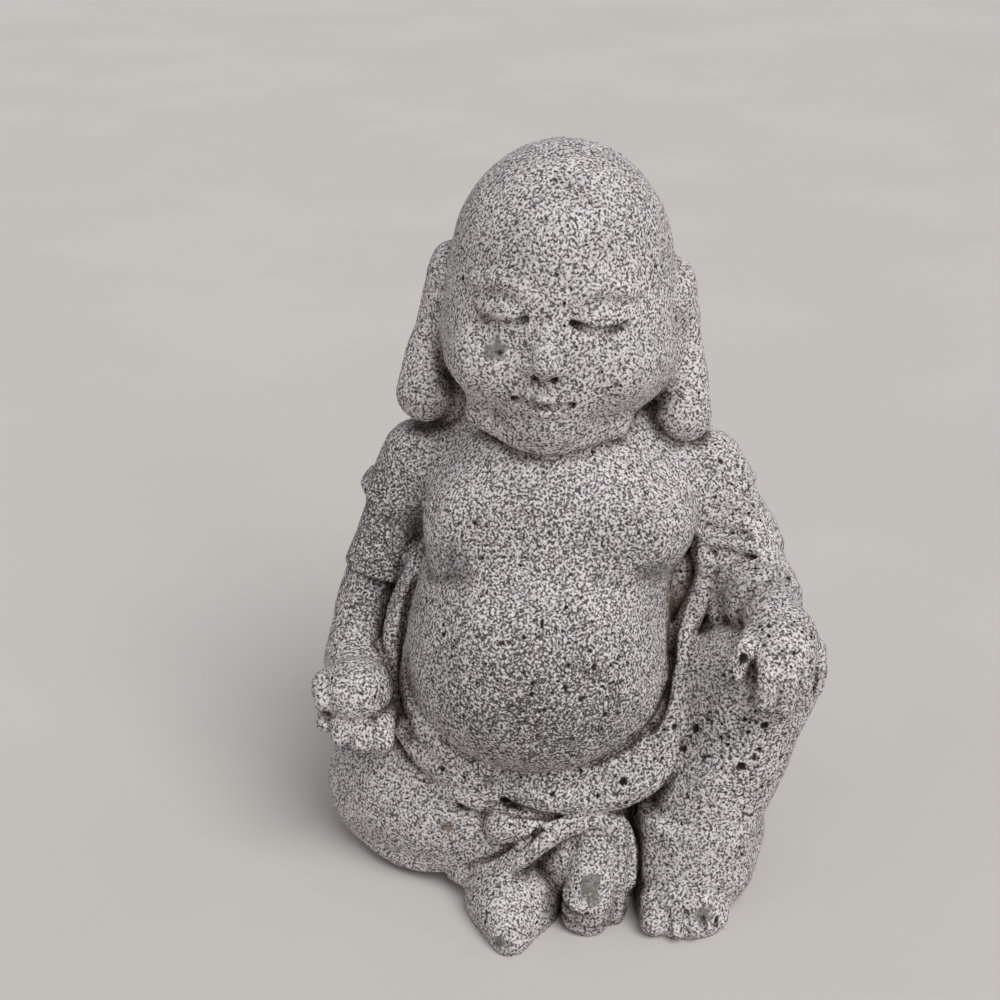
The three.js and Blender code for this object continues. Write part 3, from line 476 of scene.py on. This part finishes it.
# Creases between the chest, the belly, the sleeves and the robe.
def robe_creases():
    return [
        [1.8, 3, [[-36.4, -13, 107], [-35.4, -15, 98], [-34.6, -15, 91]]],
        [1, 4.5, [[-33, -21, 90], [-28.6, -28.5, 91], [-21, -35.4, 95.4]]],
        [0.8, 3.6, [[10, -42, 105], [18, -39, 100], [26.7, -30, 93.8], [31, -21, 90]]],
        [0.9, 2.2, [[-34.4, -17, 87], [-38.8, -17, 78], [-40.2, -19, 67], [-39.4, -22.5, 56],
          [-35.4, -28, 46.4], [-27, -33.6, 41], [-18, -38, 39.6]]],
        [1, 2.2, [[34, -17, 84], [33, -20, 76], [32.4, -23.5, 66], [30.6, -29, 56],
          [25.6, -35, 47]]],
        [1.4, 2.2, [[-35.4, -13.4, 91.6], [-43, -15.5, 81], [-46.8, -16.6, 73], [-48, -18, 65]]],
        [2.4, 2.6, [[40, -12.5, 102], [44.5, -13.2, 101.8], [50, -12.2, 100.2]]],
        [1.6, 2.2, [[46, -16, 95.8], [52, -15.6, 95.2], [57.5, -12, 94]]],
        [1.6, 2, [[43.4, -18, 85], [41.6, -19, 80], [38.4, -21, 75.4]]],
    ]


# The deep cuts beside the hand, under the rim, at the knot and between the feet.
def low_cuts():
    return blend(0.6,
        limb([[-41, -34, 53, 1.6], [-39, -32, 47, 2.6], [-41.6, -33, 41.6, 2.2]]),
        limb([[-22, -40, 29.4, 1.2], [-18.6, -42, 28, 1]]),
        limb([[-11, -43, 31.5, 1.8], [-4, -43.5, 30, 1.4], [5, -42.5, 29.5, 1.1],
            [14, -42, 32.5, 1.1]]),
        limb([[23.6, -43, 29, 1.8], [24.4, -43.6, 26, 1.2]]),
        limb([[25, -46, 9, 1.2], [25, -50, 2, 2.4]]),
        limb([[4.4, -51, 15, 0.9], [4.8, -53.5, 8, 1.4], [4.6, -56, 0, 2]]),
        limb([[49.8, -43.5, 79, 1.1], [52.4, -42.4, 78, 1.3], [52.2, -45.5, 73, 1.1]]))


# Creases of the folded leg, the knot, the trouser and between the toes.
def low_creases():
    return [
        [0.9, 2, [[-42, -36, 4.5], [-31.2, -40, 5.8], [-22, -43.6, 8], [-13, -46.6, 14.6],
          [-6, -47, 21],
          [0, -45, 26]]],
        [1, 1.8, [[-16, -44.4, 28], [-16.6, -45, 23.5], [-13, -46, 20.6]]],
        [2.2, 2.4, [[24, -43, 27.5], [24.2, -45, 21], [24.4, -47.5, 13.6], [24.8, -49.5, 5.3]]],
        [1, 2, [[27, -50.6, 6], [31, -53, 13.6], [40, -53.4, 16], [48, -48, 12]]],
        [1.2, 1.5, [[34.6, -52, 8.4], [35.2, -55.4, 2.6]]],
        [1.2, 1.5, [[39.4, -52, 8.8], [40, -55.4, 2.6]]],
        [1.2, 1.5, [[43.4, -50.6, 8.4], [43.9, -53.6, 2.4]]],
        [1.2, 1.5, [[46.8, -48.4, 7.6], [47.1, -51.4, 2.4]]],
        [1, 1.4, [[-51.7, -42, 51], [-51.7, -43, 45]]],
        [1, 1.4, [[-46.2, -42, 51], [-46.2, -43, 44.6]]],
    ]


def statue():
    body = blend(2, blend(4, torso(), legs()), robe_back())
    limbs = blend(1, right_arm(), left_arm(), ball_hand(), knee_hand(), trouser(), right_foot(),
        left_foot())
    dress = blend(1, robe_opening(), sash(), hem(), leg_folds())
    upright = blend(4, creased(carve(0.6, head(), nostrils()), face_creases()), ears())
    top = moved(turned(upright, [0, 0, 147], [0, 2.4, 0]), [-1.8, 0, 0])
    whole = blend(1.2, blend(1.5, body, limbs), dress, top)
    sunk = behind([0, 0, 0], [0, 0, -1])
    cut = carve(0.8, whole, robe_cuts(), low_cuts())
    return overlap(0.5, creased(creased(cut, robe_creases()), low_creases()), sunk)


# Skinning

CELL, QUICK_CELL = 0.65, 1.0
# The sides of the blocks that are tried before single points, in cells.
COARSE, MIDDLING = 8, 2
# A block is searched finer when the surface may be this near, in sides of the block.
NEARNESS = 1.4
CHUNK = 30000


def evaluated(field, points):
    """The field over rows of points, in chunks that stay small."""
    parts = [points[i:i + CHUNK].T.copy() for i in range(0, len(points), CHUNK)]
    return np.concatenate([field(*part) for part in parts])


def lattice(axes):
    """Every place on a grid, given its three axes, as rows."""
    return np.stack(np.meshgrid(*axes, indexing="ij"), -1).reshape(-1, 3)


def sampled(field, low, high, cell):
    """The field on a grid of points. Far from the surface one value stands for a whole block."""
    blocks = np.ceil((high - low) / (cell * COARSE)).astype(int)
    shape = blocks * COARSE
    value = np.empty(shape, np.float32)
    corner = lattice([np.arange(n) for n in blocks]) * COARSE
    for size, finer in ((COARSE, MIDDLING), (MIDDLING, 1), (1, 0)):
        guess = evaluated(field, low + (corner + (size - 1) / 2) * cell)
        for offset in lattice([np.arange(size)] * 3):
            value[tuple((corner + offset).T)] = guess
        if finer:
            kept = corner[np.abs(guess) < size * cell * NEARNESS + cell]
            corner = (kept[:, None, :] + lattice([np.arange(0, size, finer)] * 3)).reshape(-1, 3)
    return value


def skin(field, low, high, cell):
    """The surface where the field is zero, as points and four-sided faces that wind outwards."""
    value = sampled(field, low, high, cell)
    inside = value < 0
    cells = np.array(value.shape) - 1
    corners = [(i, j, k) for i in (0, 1) for j in (0, 1) for k in (0, 1)]

    def shifted(grid, offset):
        return grid[tuple(slice(o, o + n) for o, n in zip(offset, cells))]

    count = sum(shifted(inside, c).astype(np.int8) for c in corners)
    at = np.argwhere((count > 0) & (count < 8))
    number = np.full(cells, -1, np.int64)
    number[tuple(at.T)] = np.arange(len(at))
    total = np.zeros((len(at), 3))
    crossings = np.zeros(len(at))
    for a in corners:
        for axis in range(3):
            if a[axis]:
                continue
            b = tuple(v + (n == axis) for n, v in enumerate(a))
            va, vb = value[tuple((at + a).T)], value[tuple((at + b).T)]
            cut = (va < 0) != (vb < 0)
            t = np.where(cut, va / np.where(cut, va - vb, 1), 0)
            place = np.repeat(np.array(a, float)[None], len(at), 0)
            place[:, axis] += t
            total += place * cut[:, None]
            crossings += cut
    points = low + (at + total / crossings[:, None]) * cell
    faces = []
    for axis in range(3):
        u, v = [n for n in range(3) if n != axis]
        inner = tuple(slice(None, -1) if n == axis else slice(1, -1) for n in range(3))
        ahead = tuple(slice(1, None) if n == axis else slice(1, -1) for n in range(3))
        start = np.argwhere(inside[inner] != inside[ahead]) + [n != axis for n in range(3)]
        leaving = inside[tuple(start.T)]
        ring = []
        for du, dv in ((1, 1), (0, 1), (0, 0), (1, 0)):
            cell_at = start.copy()
            cell_at[:, u] -= du
            cell_at[:, v] -= dv
            ring.append(number[tuple(cell_at.T)])
        ring = np.stack(ring, 1)
        forward = leaving if axis != 1 else ~leaving
        faces.append(np.where(forward[:, None], ring, ring[:, ::-1]))
    return points, np.concatenate(faces)


def largest_piece(points, faces):
    """The largest connected skin alone, without pockets shut in the stone."""
    label = np.arange(len(points))
    while True:
        least = label[faces].min(1)
        new = label.copy()
        for side in range(4):
            np.minimum.at(new, faces[:, side], least)
        new = new[new]
        if (new == label).all():
            break
        label = new
    main = np.bincount(label[faces[:, 0]]).argmax()
    faces = faces[label[faces[:, 0]] == main]
    used, index = np.unique(faces, return_inverse=True)
    return points[used], index.reshape(faces.shape)


def gradient(field, points, reach=0.2):
    """The field's slope at each point."""
    slope = np.empty(points.shape)
    for axis in range(3):
        step = np.eye(3)[axis] * reach
        ahead, behind_it = evaluated(field, points + step), evaluated(field, points - step)
        slope[:, axis] = (ahead - behind_it) / (2 * reach)
    return slope


def settled(field, points, farthest):
    """The points moved onto the surface, each by no more than farthest."""
    slope = gradient(field, points)
    value = evaluated(field, points)
    move = -value[:, None] * slope / np.maximum((slope ** 2).sum(1), 0.05)[:, None]
    length = np.linalg.norm(move, axis=1)
    return points + move * np.minimum(1, farthest / np.maximum(length, 1e-9))[:, None]


# Wear and relief

LUMP_GRID = 64


def lumps(points, across, seed):
    """A smooth random swell from -1 to 1, its humps about across wide."""
    values = np.random.default_rng(seed).uniform(-1, 1, (LUMP_GRID, LUMP_GRID, LUMP_GRID))
    place = points / across + LUMP_GRID / 2
    base = np.floor(place).astype(int)
    t = place - base
    t = t * t * (3 - 2 * t)
    total = np.zeros(len(points))
    for corner in np.ndindex(2, 2, 2):
        share = np.where(corner, t, 1 - t).prod(axis=1)
        total += share * values[tuple(((base + corner) % LUMP_GRID).T)]
    return total


# The uneven skin: height and width of its humps, and seed.
HUMPS = [(0.14, 6.5, 1), (0.1, 3.2, 2), (0.08, 1.5, 3)]
# Crowds of pores: seed, count, middle, spread and the largest radius. The first five crowds are
# also full of finer pores, which are in the material alone.
PITTED = 5
SMALLEST_PORE, PORE_RIM, PORE_DEPTH = 0.35, 0.1, 1.1
PORE_CROWDS = [
    (11, 260, [2, -50, 64], [24, 9, 20], 0.7),
    (12, 180, [58, -38, 66], [11, 6, 15], 0.75),
    (13, 180, [46, -40, 52], [13, 6, 12], 0.75),
    (14, 60, [46, -8, 102], [8, 8, 11], 0.7),
    (15, 60, [5, -44, 32], [34, 6, 12], 0.65),
    (16, 40, [0, -10, 184], [22, 20, 12], 0.7),
    (17, 40, [20, -30, 130], [40, 20, 20], 0.7),
    (18, 260, [0, 10, 70], [60, 40, 60], 0.8),
]
# Where the colour is darker, from darker grain and from painted shade: amount, middle and spread.
DARK_GRAIN_AND_SHADE_ZONES = [
    # A darker grain on the belly.
    (1.9, [2, -50, 64], [26, 14, 24]),
    # Painted shade on the sleeve that lies along the side, away from the key light.
    (2.1, [-50, -6, 92], [11, 18, 22]),
    (1.0, [0, -36, 106], [26, 14, 14]),
]
# Holes and chips of their own: place, radius and depth.
HOLES = [
    ([-61, -38, 57.5], 1.5, 1.6),
    ([-58.4, -39, 47], 1.4, 1.6),
    ([68, -40, 72], 1.3, 1.2),
    ([51, -44, 82], 1.8, 1.2),
    ([52, -43, 49], 1.4, 1.2),
    ([57, -41, 60], 1.2, 1.0),
    ([39, -35, 55], 1.3, 1.1),
    ([23, -37, 52], 1.2, 1.1),
    ([21, -43, 42], 1.2, 1.0),
    ([-13, -28.5, 154.6], 0.8, 1.2),
    ([-9.5, -66, 4], 2.6, 0.4),
    ([-14, -58, 8], 1.1, 0.8),
    ([-13.4, -59, 5.5], 1.0, 0.8),
    ([44, -53, 9], 2.2, 0.35),
    ([-10, -41, 32], 1.5, 1.6),
    ([22.5, -36, 29], 1.6, 1.8),
]


def pressed(tree, place, radius, depth):
    """Vertices in reach of a round hollow pressed in at a place, and how deep each goes."""
    on_skin = tree.find(Vector(place))[0]
    found = tree.find_range(on_skin, radius)
    return [(n, depth * (1 - (gap / radius) ** 2)) for _, n, gap in found]


def worn(points):
    """How far each point of the skin lies below the smooth form."""
    depth = sum(height * lumps(points, across, seed) for height, across, seed in HUMPS)
    tree = KDTree(len(points))
    for n, p in enumerate(points):
        tree.insert(p, n)
    tree.balance()
    for seed, count, middle, spread, largest in PORE_CROWDS:
        rng = np.random.default_rng(seed)
        places = np.array(middle) + rng.normal(size=(count, 3)) * spread
        radii = SMALLEST_PORE + (largest - SMALLEST_PORE) * rng.uniform(0, 1, count) ** 2
        for place, radius in zip(places, radii):
            for n, deep in pressed(tree, place, radius + PORE_RIM, PORE_DEPTH * radius):
                depth[n] += deep
    for place, radius, deep in HOLES:
        for n, more in pressed(tree, place, radius, deep):
            depth[n] += more
    return depth


# The piece

FLAT_UNDER = 0.5
TRIANGLE_BUDGET = 196000
# What counts as a pore in the material: from this far below the smooth form, over this much more.
PORE_START, PORE_SPAN = 0.25, 0.6
# How far out the stone is looked for, to tell hollows and creases for the painted shade in them.
HOLLOW_REACHES = (1.5, 4, 8)
CREASE_REACH = 0.9
CROWD_SPREAD = 1.3


def mesh_object(name, points, faces):
    mesh = bpy.data.meshes.new(name)
    mesh.vertices.add(len(points))
    mesh.vertices.foreach_set("co", (points * MM).astype(np.float32).ravel())
    sides = faces.shape[1]
    mesh.loops.add(faces.size)
    mesh.loops.foreach_set("vertex_index", faces.astype(np.int32).ravel())
    mesh.polygons.add(len(faces))
    mesh.polygons.foreach_set("loop_start", np.arange(0, faces.size, sides, dtype=np.int32))
    mesh.update(calc_edges=True)
    piece = bpy.data.objects.new(name, mesh)
    bpy.context.scene.collection.objects.link(piece)
    return piece


def thinned(piece, budget):
    """The piece with its least needed edges collapsed, down to a budget of triangles."""
    modifier = piece.modifiers.new("thin", "DECIMATE")
    modifier.ratio = min(1, budget / (2 * len(piece.data.polygons)))
    modifier.use_collapse_triangulate = True
    graph = bpy.context.evaluated_depsgraph_get()
    mesh = bpy.data.meshes.new_from_object(piece.evaluated_get(graph))
    piece.modifiers.clear()
    piece.data = mesh
    return piece


def zone(points, middle, spread):
    """1 at the middle, fading to 0 outwards over the spread along x, y and z."""
    gap = (((points - middle) / spread) ** 2).sum(1)
    return np.exp(-gap / 2)


def painted(piece, form):
    """Vertex values for the material: how deep in a pore, how hollow, how creased, how pitted and
    how dark, the first three for painted shade.
    """
    mesh = piece.data
    points = np.empty(len(mesh.vertices) * 3)
    normals = np.empty(len(mesh.vertices) * 3)
    mesh.vertices.foreach_get("co", points)
    mesh.vertex_normals.foreach_get("vector", normals)
    points = points.reshape(-1, 3) / MM
    normals = normals.reshape(-1, 3)
    pore = np.clip((-evaluated(form, points) - PORE_START) / PORE_SPAN, 0, 1)
    # How hollow and how creased each point is, for the painted shade there.
    hollow = np.zeros(len(points))
    for reach in HOLLOW_REACHES:
        open_space = evaluated(form, points + normals * reach) / reach
        hollow += np.clip(1 - open_space, 0, 1) / len(HOLLOW_REACHES)
    crease = np.clip(1 - evaluated(form, points + normals * CREASE_REACH) / CREASE_REACH, 0, 1)
    crowd = np.zeros(len(points))
    for _, _, middle, spread, _ in PORE_CROWDS[:PITTED]:
        crowd = np.maximum(crowd, zone(points, middle, np.array(spread) * CROWD_SPREAD))
    dark = np.zeros(len(points))
    for amount, middle, spread in DARK_GRAIN_AND_SHADE_ZONES:
        dark = np.maximum(dark, amount * zone(points, middle, spread))
    values = {"pore": pore, "hollow": hollow, "crease": crease, "crowd": crowd, "dark": dark}
    for name, value in values.items():
        attribute = mesh.attributes.new(name, "FLOAT", "POINT")
        attribute.data.foreach_set("value", value.astype(np.float32))


def statue_piece():
    form = statue()
    cell = CELL
    points, faces = largest_piece(*skin(form, REACH_LOW, REACH_HIGH, cell))
    points = settled(form, points, cell)
    slope = gradient(form, points)
    normals = slope / np.maximum(np.linalg.norm(slope, axis=1), 1e-6)[:, None]
    points -= normals * worn(points)[:, None]
    points[points[:, 2] < FLAT_UNDER, 2] = 0
    piece = thinned(mesh_object("buddha_stone", points, faces), TRIANGLE_BUDGET)
    painted(piece, form)
    for polygon in piece.data.polygons:
        polygon.use_smooth = True
    return piece


# Material

# Spots end at this many radii, wavering by the raggedness, the edge as sharp as the crispness.
SPOT_EDGE, SPOT_RAGGEDNESS, SPOT_CRISPNESS = 1.2, 2.8, 2.5


class Nodes:
    """Short calls for building a node tree."""

    def __init__(self, name):
        self.material = bpy.data.materials.new(name)
        self.material.use_nodes = True
        self.tree = self.material.node_tree
        self.shader = self.tree.nodes["Principled BSDF"]

    def add(self, kind, settings=None, **inputs):
        node = self.tree.nodes.new(kind)
        for key, value in (settings or {}).items():
            setattr(node, key, value)
        for key, value in inputs.items():
            self.feed(node.inputs[key.replace("_", " ")], value)
        return node

    def feed(self, socket, value):
        if isinstance(value, bpy.types.NodeSocket):
            self.tree.links.new(value, socket)
        else:
            socket.default_value = value

    def math(self, operation, a, b=0.0, clamp=False):
        node = self.add("ShaderNodeMath", {"operation": operation, "use_clamp": clamp})
        self.feed(node.inputs[0], a)
        self.feed(node.inputs[1], b)
        return node.outputs[0]

    def mix(self, share, a, b, blend_type="MIX"):
        node = self.add("ShaderNodeMix", {"data_type": "RGBA", "blend_type": blend_type})
        self.feed(node.inputs[0], share)
        self.feed(node.inputs[6], a)
        self.feed(node.inputs[7], b)
        return node.outputs[2]

    def ramp(self, value, stops):
        node = self.add("ShaderNodeValToRGB", Fac=value)
        while len(node.color_ramp.elements) < len(stops):
            node.color_ramp.elements.new(0.5)
        for element, (at, colour) in zip(node.color_ramp.elements, stops):
            element.position = at
            element.color = colour
        return node.outputs[0]

    def noise(self, place, scale, detail=2.0, roughness=0.5):
        node = self.add("ShaderNodeTexNoise", Vector=place, Scale=scale, Detail=detail,
            Roughness=roughness)
        return node.outputs[0]

    def attribute(self, name):
        return self.add("ShaderNodeAttribute", {"attribute_name": name}).outputs["Fac"]

    def spot(self, place, middle, radius, ragged):
        """1 inside a round spot and 0 outside, its edge made uneven by ragged."""
        gap = self.add("ShaderNodeVectorMath", {"operation": "DISTANCE"})
        self.feed(gap.inputs[0], place)
        self.feed(gap.inputs[1], middle)
        share = self.math("DIVIDE", gap.outputs["Value"], radius)
        waver = self.math("MULTIPLY", self.math("SUBTRACT", ragged, 0.5), SPOT_RAGGEDNESS)
        inside = self.math("SUBTRACT", SPOT_EDGE, self.math("ADD", share, waver))
        return self.math("MULTIPLY", inside, SPOT_CRISPNESS, clamp=True)


def gray(value, warmth=0.0):
    """A grey as a colour, redder for more warmth."""
    return (value * (1 + warmth), value, value * (1 - warmth), 1)


# Sizes of the textures, in features a millimetre, and what share each has in the colour.
GRAIN_SCALE, FINE_SCALE, CRYSTAL_SCALE, PIT_SCALE, RAGGED_SCALE = 1.5, 3.2, 1.25, 0.42, 0.5
BLOTCH_SCALE, WARMTH_SCALE = 0.07, 0.13
GRAIN_SHARE, FINE_SHARE, CRYSTAL_SHARE = 0.86, 0.14, 0.18
# The shade patches are painted shade; the rust and the mends are the stone's own colour.
SHADE_PATCH_SHARE, RUST_SHARE, MEND_SHARE = 0.45, 0.6, 0.8
# How much the dark zones darken: darker grain on the belly, painted shade on the shaded sleeve.
DARK_GRAIN_AND_SHADE_DEPTH = 0.03
# The finer pores: least radius and how much more, in features, and chance of one in a crowd
# and anywhere.
PIT_RADIUS, PIT_SPREAD, PIT_CRISPNESS = 0.06, 0.17, 30.0
CROWD_CHANCE, LONE_CHANCE = 0.62, 0.08
# The relief of the grains, millimetres, how strong it is, and how much is gone in a mend.
BUMP_DEPTH, BUMP_STRENGTH, PIT_DEPTH, MEND_SMOOTHNESS = 0.4, 0.8, 0.8, 0.8
ROUGHNESS, FINE_ROUGHNESS, SPECULAR = 0.86, 0.14, 0.25

STONE_TINT = (1, 0.96, 0.972, 1)
MEND_COLOUR = (0.17, 0.165, 0.14, 1)
RUST_COLOUR = (0.1, 0.052, 0.03, 1)
# Painted shade: a dark grey for the shade patches.
SHADE_PATCH_COLOUR = gray(0.07, -0.02)
# Painted shade: the pores near black.
PORE_SHADE_COLOUR = gray(0.012, 0.1)
GRAIN_STOPS = [(0.37, gray(0.015, 0.03)), (0.435, gray(0.12, 0.02)), (0.495, gray(0.5, 0.01)),
    (0.555, gray(0.84, 0.02)), (0.65, gray(0.92, 0.02))]
CRYSTAL_STOPS = [(0.0, gray(0.03)), (0.06, gray(0.08)), (0.1, gray(0.42)), (0.88, gray(0.46)),
    (0.95, gray(0.85))]
BLOTCH_STOPS = [(0.35, gray(0.84)), (0.62, gray(1.0))]
WARMTH_STOPS = [(0.5, gray(1.0)), (0.7, gray(0.94, 0.05))]
# Painted shade: darker in hollows and darker still in creases, where shade falls.
HOLLOW_SHADE_STOPS = [(0.28, gray(1.0)), (0.5, gray(0.62, 0.05)), (0.72, gray(0.25, 0.08))]
CREASE_SHADE_STOPS = [(0.22, gray(1.0)), (0.7, gray(0.18, 0.08))]
# Smooth grey-green mends in the grit, rust stains, and patches of painted shade: middle and radius,
# millimetres.
MENDS = [([-14, -28, 155.5], 2.6), ([14, -53, 16], 2.8), ([14.5, -53, 12], 2.4),
    ([44, -52, 8], 2.2), ([-9, -65, 4], 1.8)]
RUST = [([35, -14, 83], 4.5), ([-26, -42, 23], 1.8), ([36, -16, 76], 3.0)]
# Painted shade below the breasts and between the chest and the sleeve.
SHADE_PATCHES = [([-24, -33, 98], 5.5), ([-36, -8, 96], 7.0), ([26, -30, 98], 4.0)]


def grain_colour_and_shade(n, mm, mixed):
    """The colour of clean stone: grains and crystals, blotched, with painted shade in hollows and
    creases.
    """
    crystals = n.add("ShaderNodeTexVoronoi", Vector=mm, Scale=CRYSTAL_SCALE)
    crystal = n.add("ShaderNodeSeparateColor", Color=crystals.outputs["Color"])
    speckle = n.ramp(crystal.outputs[0], CRYSTAL_STOPS)
    colour = n.mix(CRYSTAL_SHARE, n.ramp(mixed, GRAIN_STOPS), speckle)
    colour = n.mix(1.0, colour, STONE_TINT, "MULTIPLY")
    tones_and_shade = [
        (n.noise(mm, BLOTCH_SCALE, 3.0), BLOTCH_STOPS),
        (n.noise(mm, WARMTH_SCALE, 3.0, 0.6), WARMTH_STOPS),
        # Painted shade in the hollows and creases.
        (n.attribute("hollow"), HOLLOW_SHADE_STOPS),
        (n.attribute("crease"), CREASE_SHADE_STOPS),
    ]
    for value, stops in tones_and_shade:
        colour = n.mix(1.0, colour, n.ramp(value, stops), "MULTIPLY")
    return colour


def shade_patched_and_stained(n, mm, colour):
    """The colour with painted shade patches, rust stains and mends, and where the mends are."""
    ragged = n.noise(mm, RAGGED_SCALE, 3.0, 0.65)
    # The first patches are painted shade, the second are rust stains.
    shade_and_rust_patches = [(SHADE_PATCHES, SHADE_PATCH_SHARE, SHADE_PATCH_COLOUR), (RUST, RUST_SHARE, RUST_COLOUR)]
    for spots, most, patch_colour in shade_and_rust_patches:
        for middle, radius in spots:
            share = n.math("MULTIPLY", n.spot(mm, middle, radius, ragged), most)
            colour = n.mix(share, colour, patch_colour)
    mend = 0.0
    for middle, radius in MENDS:
        share = n.spot(mm, middle, radius, ragged)
        mend = n.math("MAXIMUM", mend, share)
        colour = n.mix(n.math("MULTIPLY", share, MEND_SHARE), colour, MEND_COLOUR)
    return colour, mend


def fine_pores(n, mm):
    """1 in the finer pores: a few everywhere, and many where the mesh's own pores crowd."""
    pits = n.add("ShaderNodeTexVoronoi", Vector=mm, Scale=PIT_SCALE)
    pit = n.add("ShaderNodeSeparateColor", Color=pits.outputs["Color"])
    reach = n.math("ADD", PIT_RADIUS, n.math("MULTIPLY", pit.outputs[1], PIT_SPREAD))
    crowding = n.math("MULTIPLY", n.attribute("crowd"), CROWD_CHANCE)
    chosen = n.math("GREATER_THAN", n.math("ADD", crowding, LONE_CHANCE), pit.outputs[0])
    inside = n.math("SUBTRACT", reach, pits.outputs["Distance"])
    inside = n.math("MULTIPLY", inside, PIT_CRISPNESS, clamp=True)
    return n.math("MULTIPLY", inside, chosen)


def stone_material():
    n = Nodes("grit_stone")
    scaled = n.add("ShaderNodeVectorMath", {"operation": "SCALE"})
    n.feed(scaled.inputs[0], n.add("ShaderNodeTexCoord").outputs["Object"])
    n.feed(scaled.inputs["Scale"], 1 / MM)
    mm = scaled.outputs[0]

    grains = n.math("MULTIPLY", n.noise(mm, GRAIN_SCALE, 2.0, 0.5), GRAIN_SHARE)
    fine = n.noise(mm, FINE_SCALE, 1.0)
    mixed = n.math("ADD", grains, n.math("MULTIPLY", fine, FINE_SHARE))
    # Darker grain on the belly and painted shade on the shaded sleeve.
    darker = n.math("MULTIPLY", n.attribute("dark"), DARK_GRAIN_AND_SHADE_DEPTH)
    mixed = n.math("SUBTRACT", mixed, darker)
    colour, mend = shade_patched_and_stained(n, mm, grain_colour_and_shade(n, mm, mixed))
    small_pore = fine_pores(n, mm)
    # Painted shade: the mesh's pores and the finer pits are coloured near black.
    pore = n.math("MAXIMUM", n.attribute("pore"), small_pore, clamp=True)

    n.feed(n.shader.inputs["Base Color"], n.mix(pore, colour, PORE_SHADE_COLOUR))
    rough = n.math("ADD", ROUGHNESS, n.math("MULTIPLY", fine, FINE_ROUGHNESS))
    n.feed(n.shader.inputs["Roughness"], rough)
    n.shader.inputs["Specular IOR Level"].default_value = SPECULAR
    height = n.math("SUBTRACT", mixed, n.math("MULTIPLY", small_pore, PIT_DEPTH))
    gritty = n.math("SUBTRACT", 1.0, n.math("MULTIPLY", mend, MEND_SMOOTHNESS))
    strength = n.math("MULTIPLY", gritty, BUMP_STRENGTH)
    bump = n.add("ShaderNodeBump", Height=height, Strength=strength, Distance=BUMP_DEPTH * MM)
    n.feed(n.shader.inputs["Normal"], bump.outputs[0])
    return n.material


# The stage

# Metres across, patches a metre, and the cloth's two colours.
FLOOR_SIZE, CLOTH_SCALE = 6, 6.0
CLOTH_STOPS = [(0.3, (0.6, 0.575, 0.535, 1)), (0.7, (0.64, 0.615, 0.575, 1))]
CLOTH_ROUGHNESS = 0.9


def floor_piece():
    bpy.ops.mesh.primitive_plane_add(size=FLOOR_SIZE)
    floor = bpy.context.object
    floor.name = "floor"
    n = Nodes("pale_cloth")
    place = n.add("ShaderNodeTexCoord").outputs["Object"]
    n.feed(n.shader.inputs["Base Color"], n.ramp(n.noise(place, CLOTH_SCALE, 3.0), CLOTH_STOPS))
    n.shader.inputs["Roughness"].default_value = CLOTH_ROUGHNESS
    floor.data.materials.append(n.material)
    return floor


def from_front(azimuth, elevation):
    """The direction that lies at an azimuth right of the front and an elevation, in degrees."""
    a, e = math.radians(azimuth), math.radians(elevation)
    return Vector((math.sin(a) * math.cos(e), -math.cos(a) * math.cos(e), math.sin(e)))


def soft_sun(name, azimuth, elevation, strength, spread):
    """Light from far away, spread over an angle; all angles in degrees."""
    light = bpy.data.lights.new(name, "SUN")
    light.energy = strength
    light.angle = math.radians(spread)
    lamp = bpy.data.objects.new(name, light)
    bpy.context.scene.collection.objects.link(lamp)
    lamp.rotation_euler = from_front(azimuth, elevation).to_track_quat("Z", "Y").to_euler()


def world_light(colour, strength):
    world = bpy.data.worlds.new("studio")
    world.use_nodes = True
    background = world.node_tree.nodes["Background"]
    background.inputs["Color"].default_value = colour
    background.inputs["Strength"].default_value = strength
    bpy.context.scene.world = world


# The eye's place about its target in degrees and metres, and its lens in millimetres.
AZIMUTH, ELEVATION, DISTANCE = 7, 25, 0.464
TARGET = (-0.0166, 0, 0.1016)
LENS, SENSOR, NEAREST = 61.22, 36, 0.01


def camera():
    back = from_front(AZIMUTH, ELEVATION)
    data = bpy.data.cameras.new("camera")
    data.lens = LENS
    data.sensor_width = SENSOR
    data.clip_start = NEAREST
    eye = bpy.data.objects.new("camera", data)
    bpy.context.scene.collection.objects.link(eye)
    eye.location = Vector(TARGET) + back * DISTANCE
    eye.rotation_euler = (-back).to_track_quat("-Z", "Y").to_euler()
    bpy.context.scene.camera = eye


statue_mesh = statue_piece()
statue_mesh.data.materials.append(stone_material())
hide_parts("buddha_statue")
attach(statue_mesh, "root")
floor_piece()
world_light(colour=(0.96, 0.96, 1, 1), strength=0.42)
soft_sun("key", azimuth=42, elevation=52, strength=1.92, spread=40)
camera()
bpy.context.scene.view_settings.view_transform = "Standard"
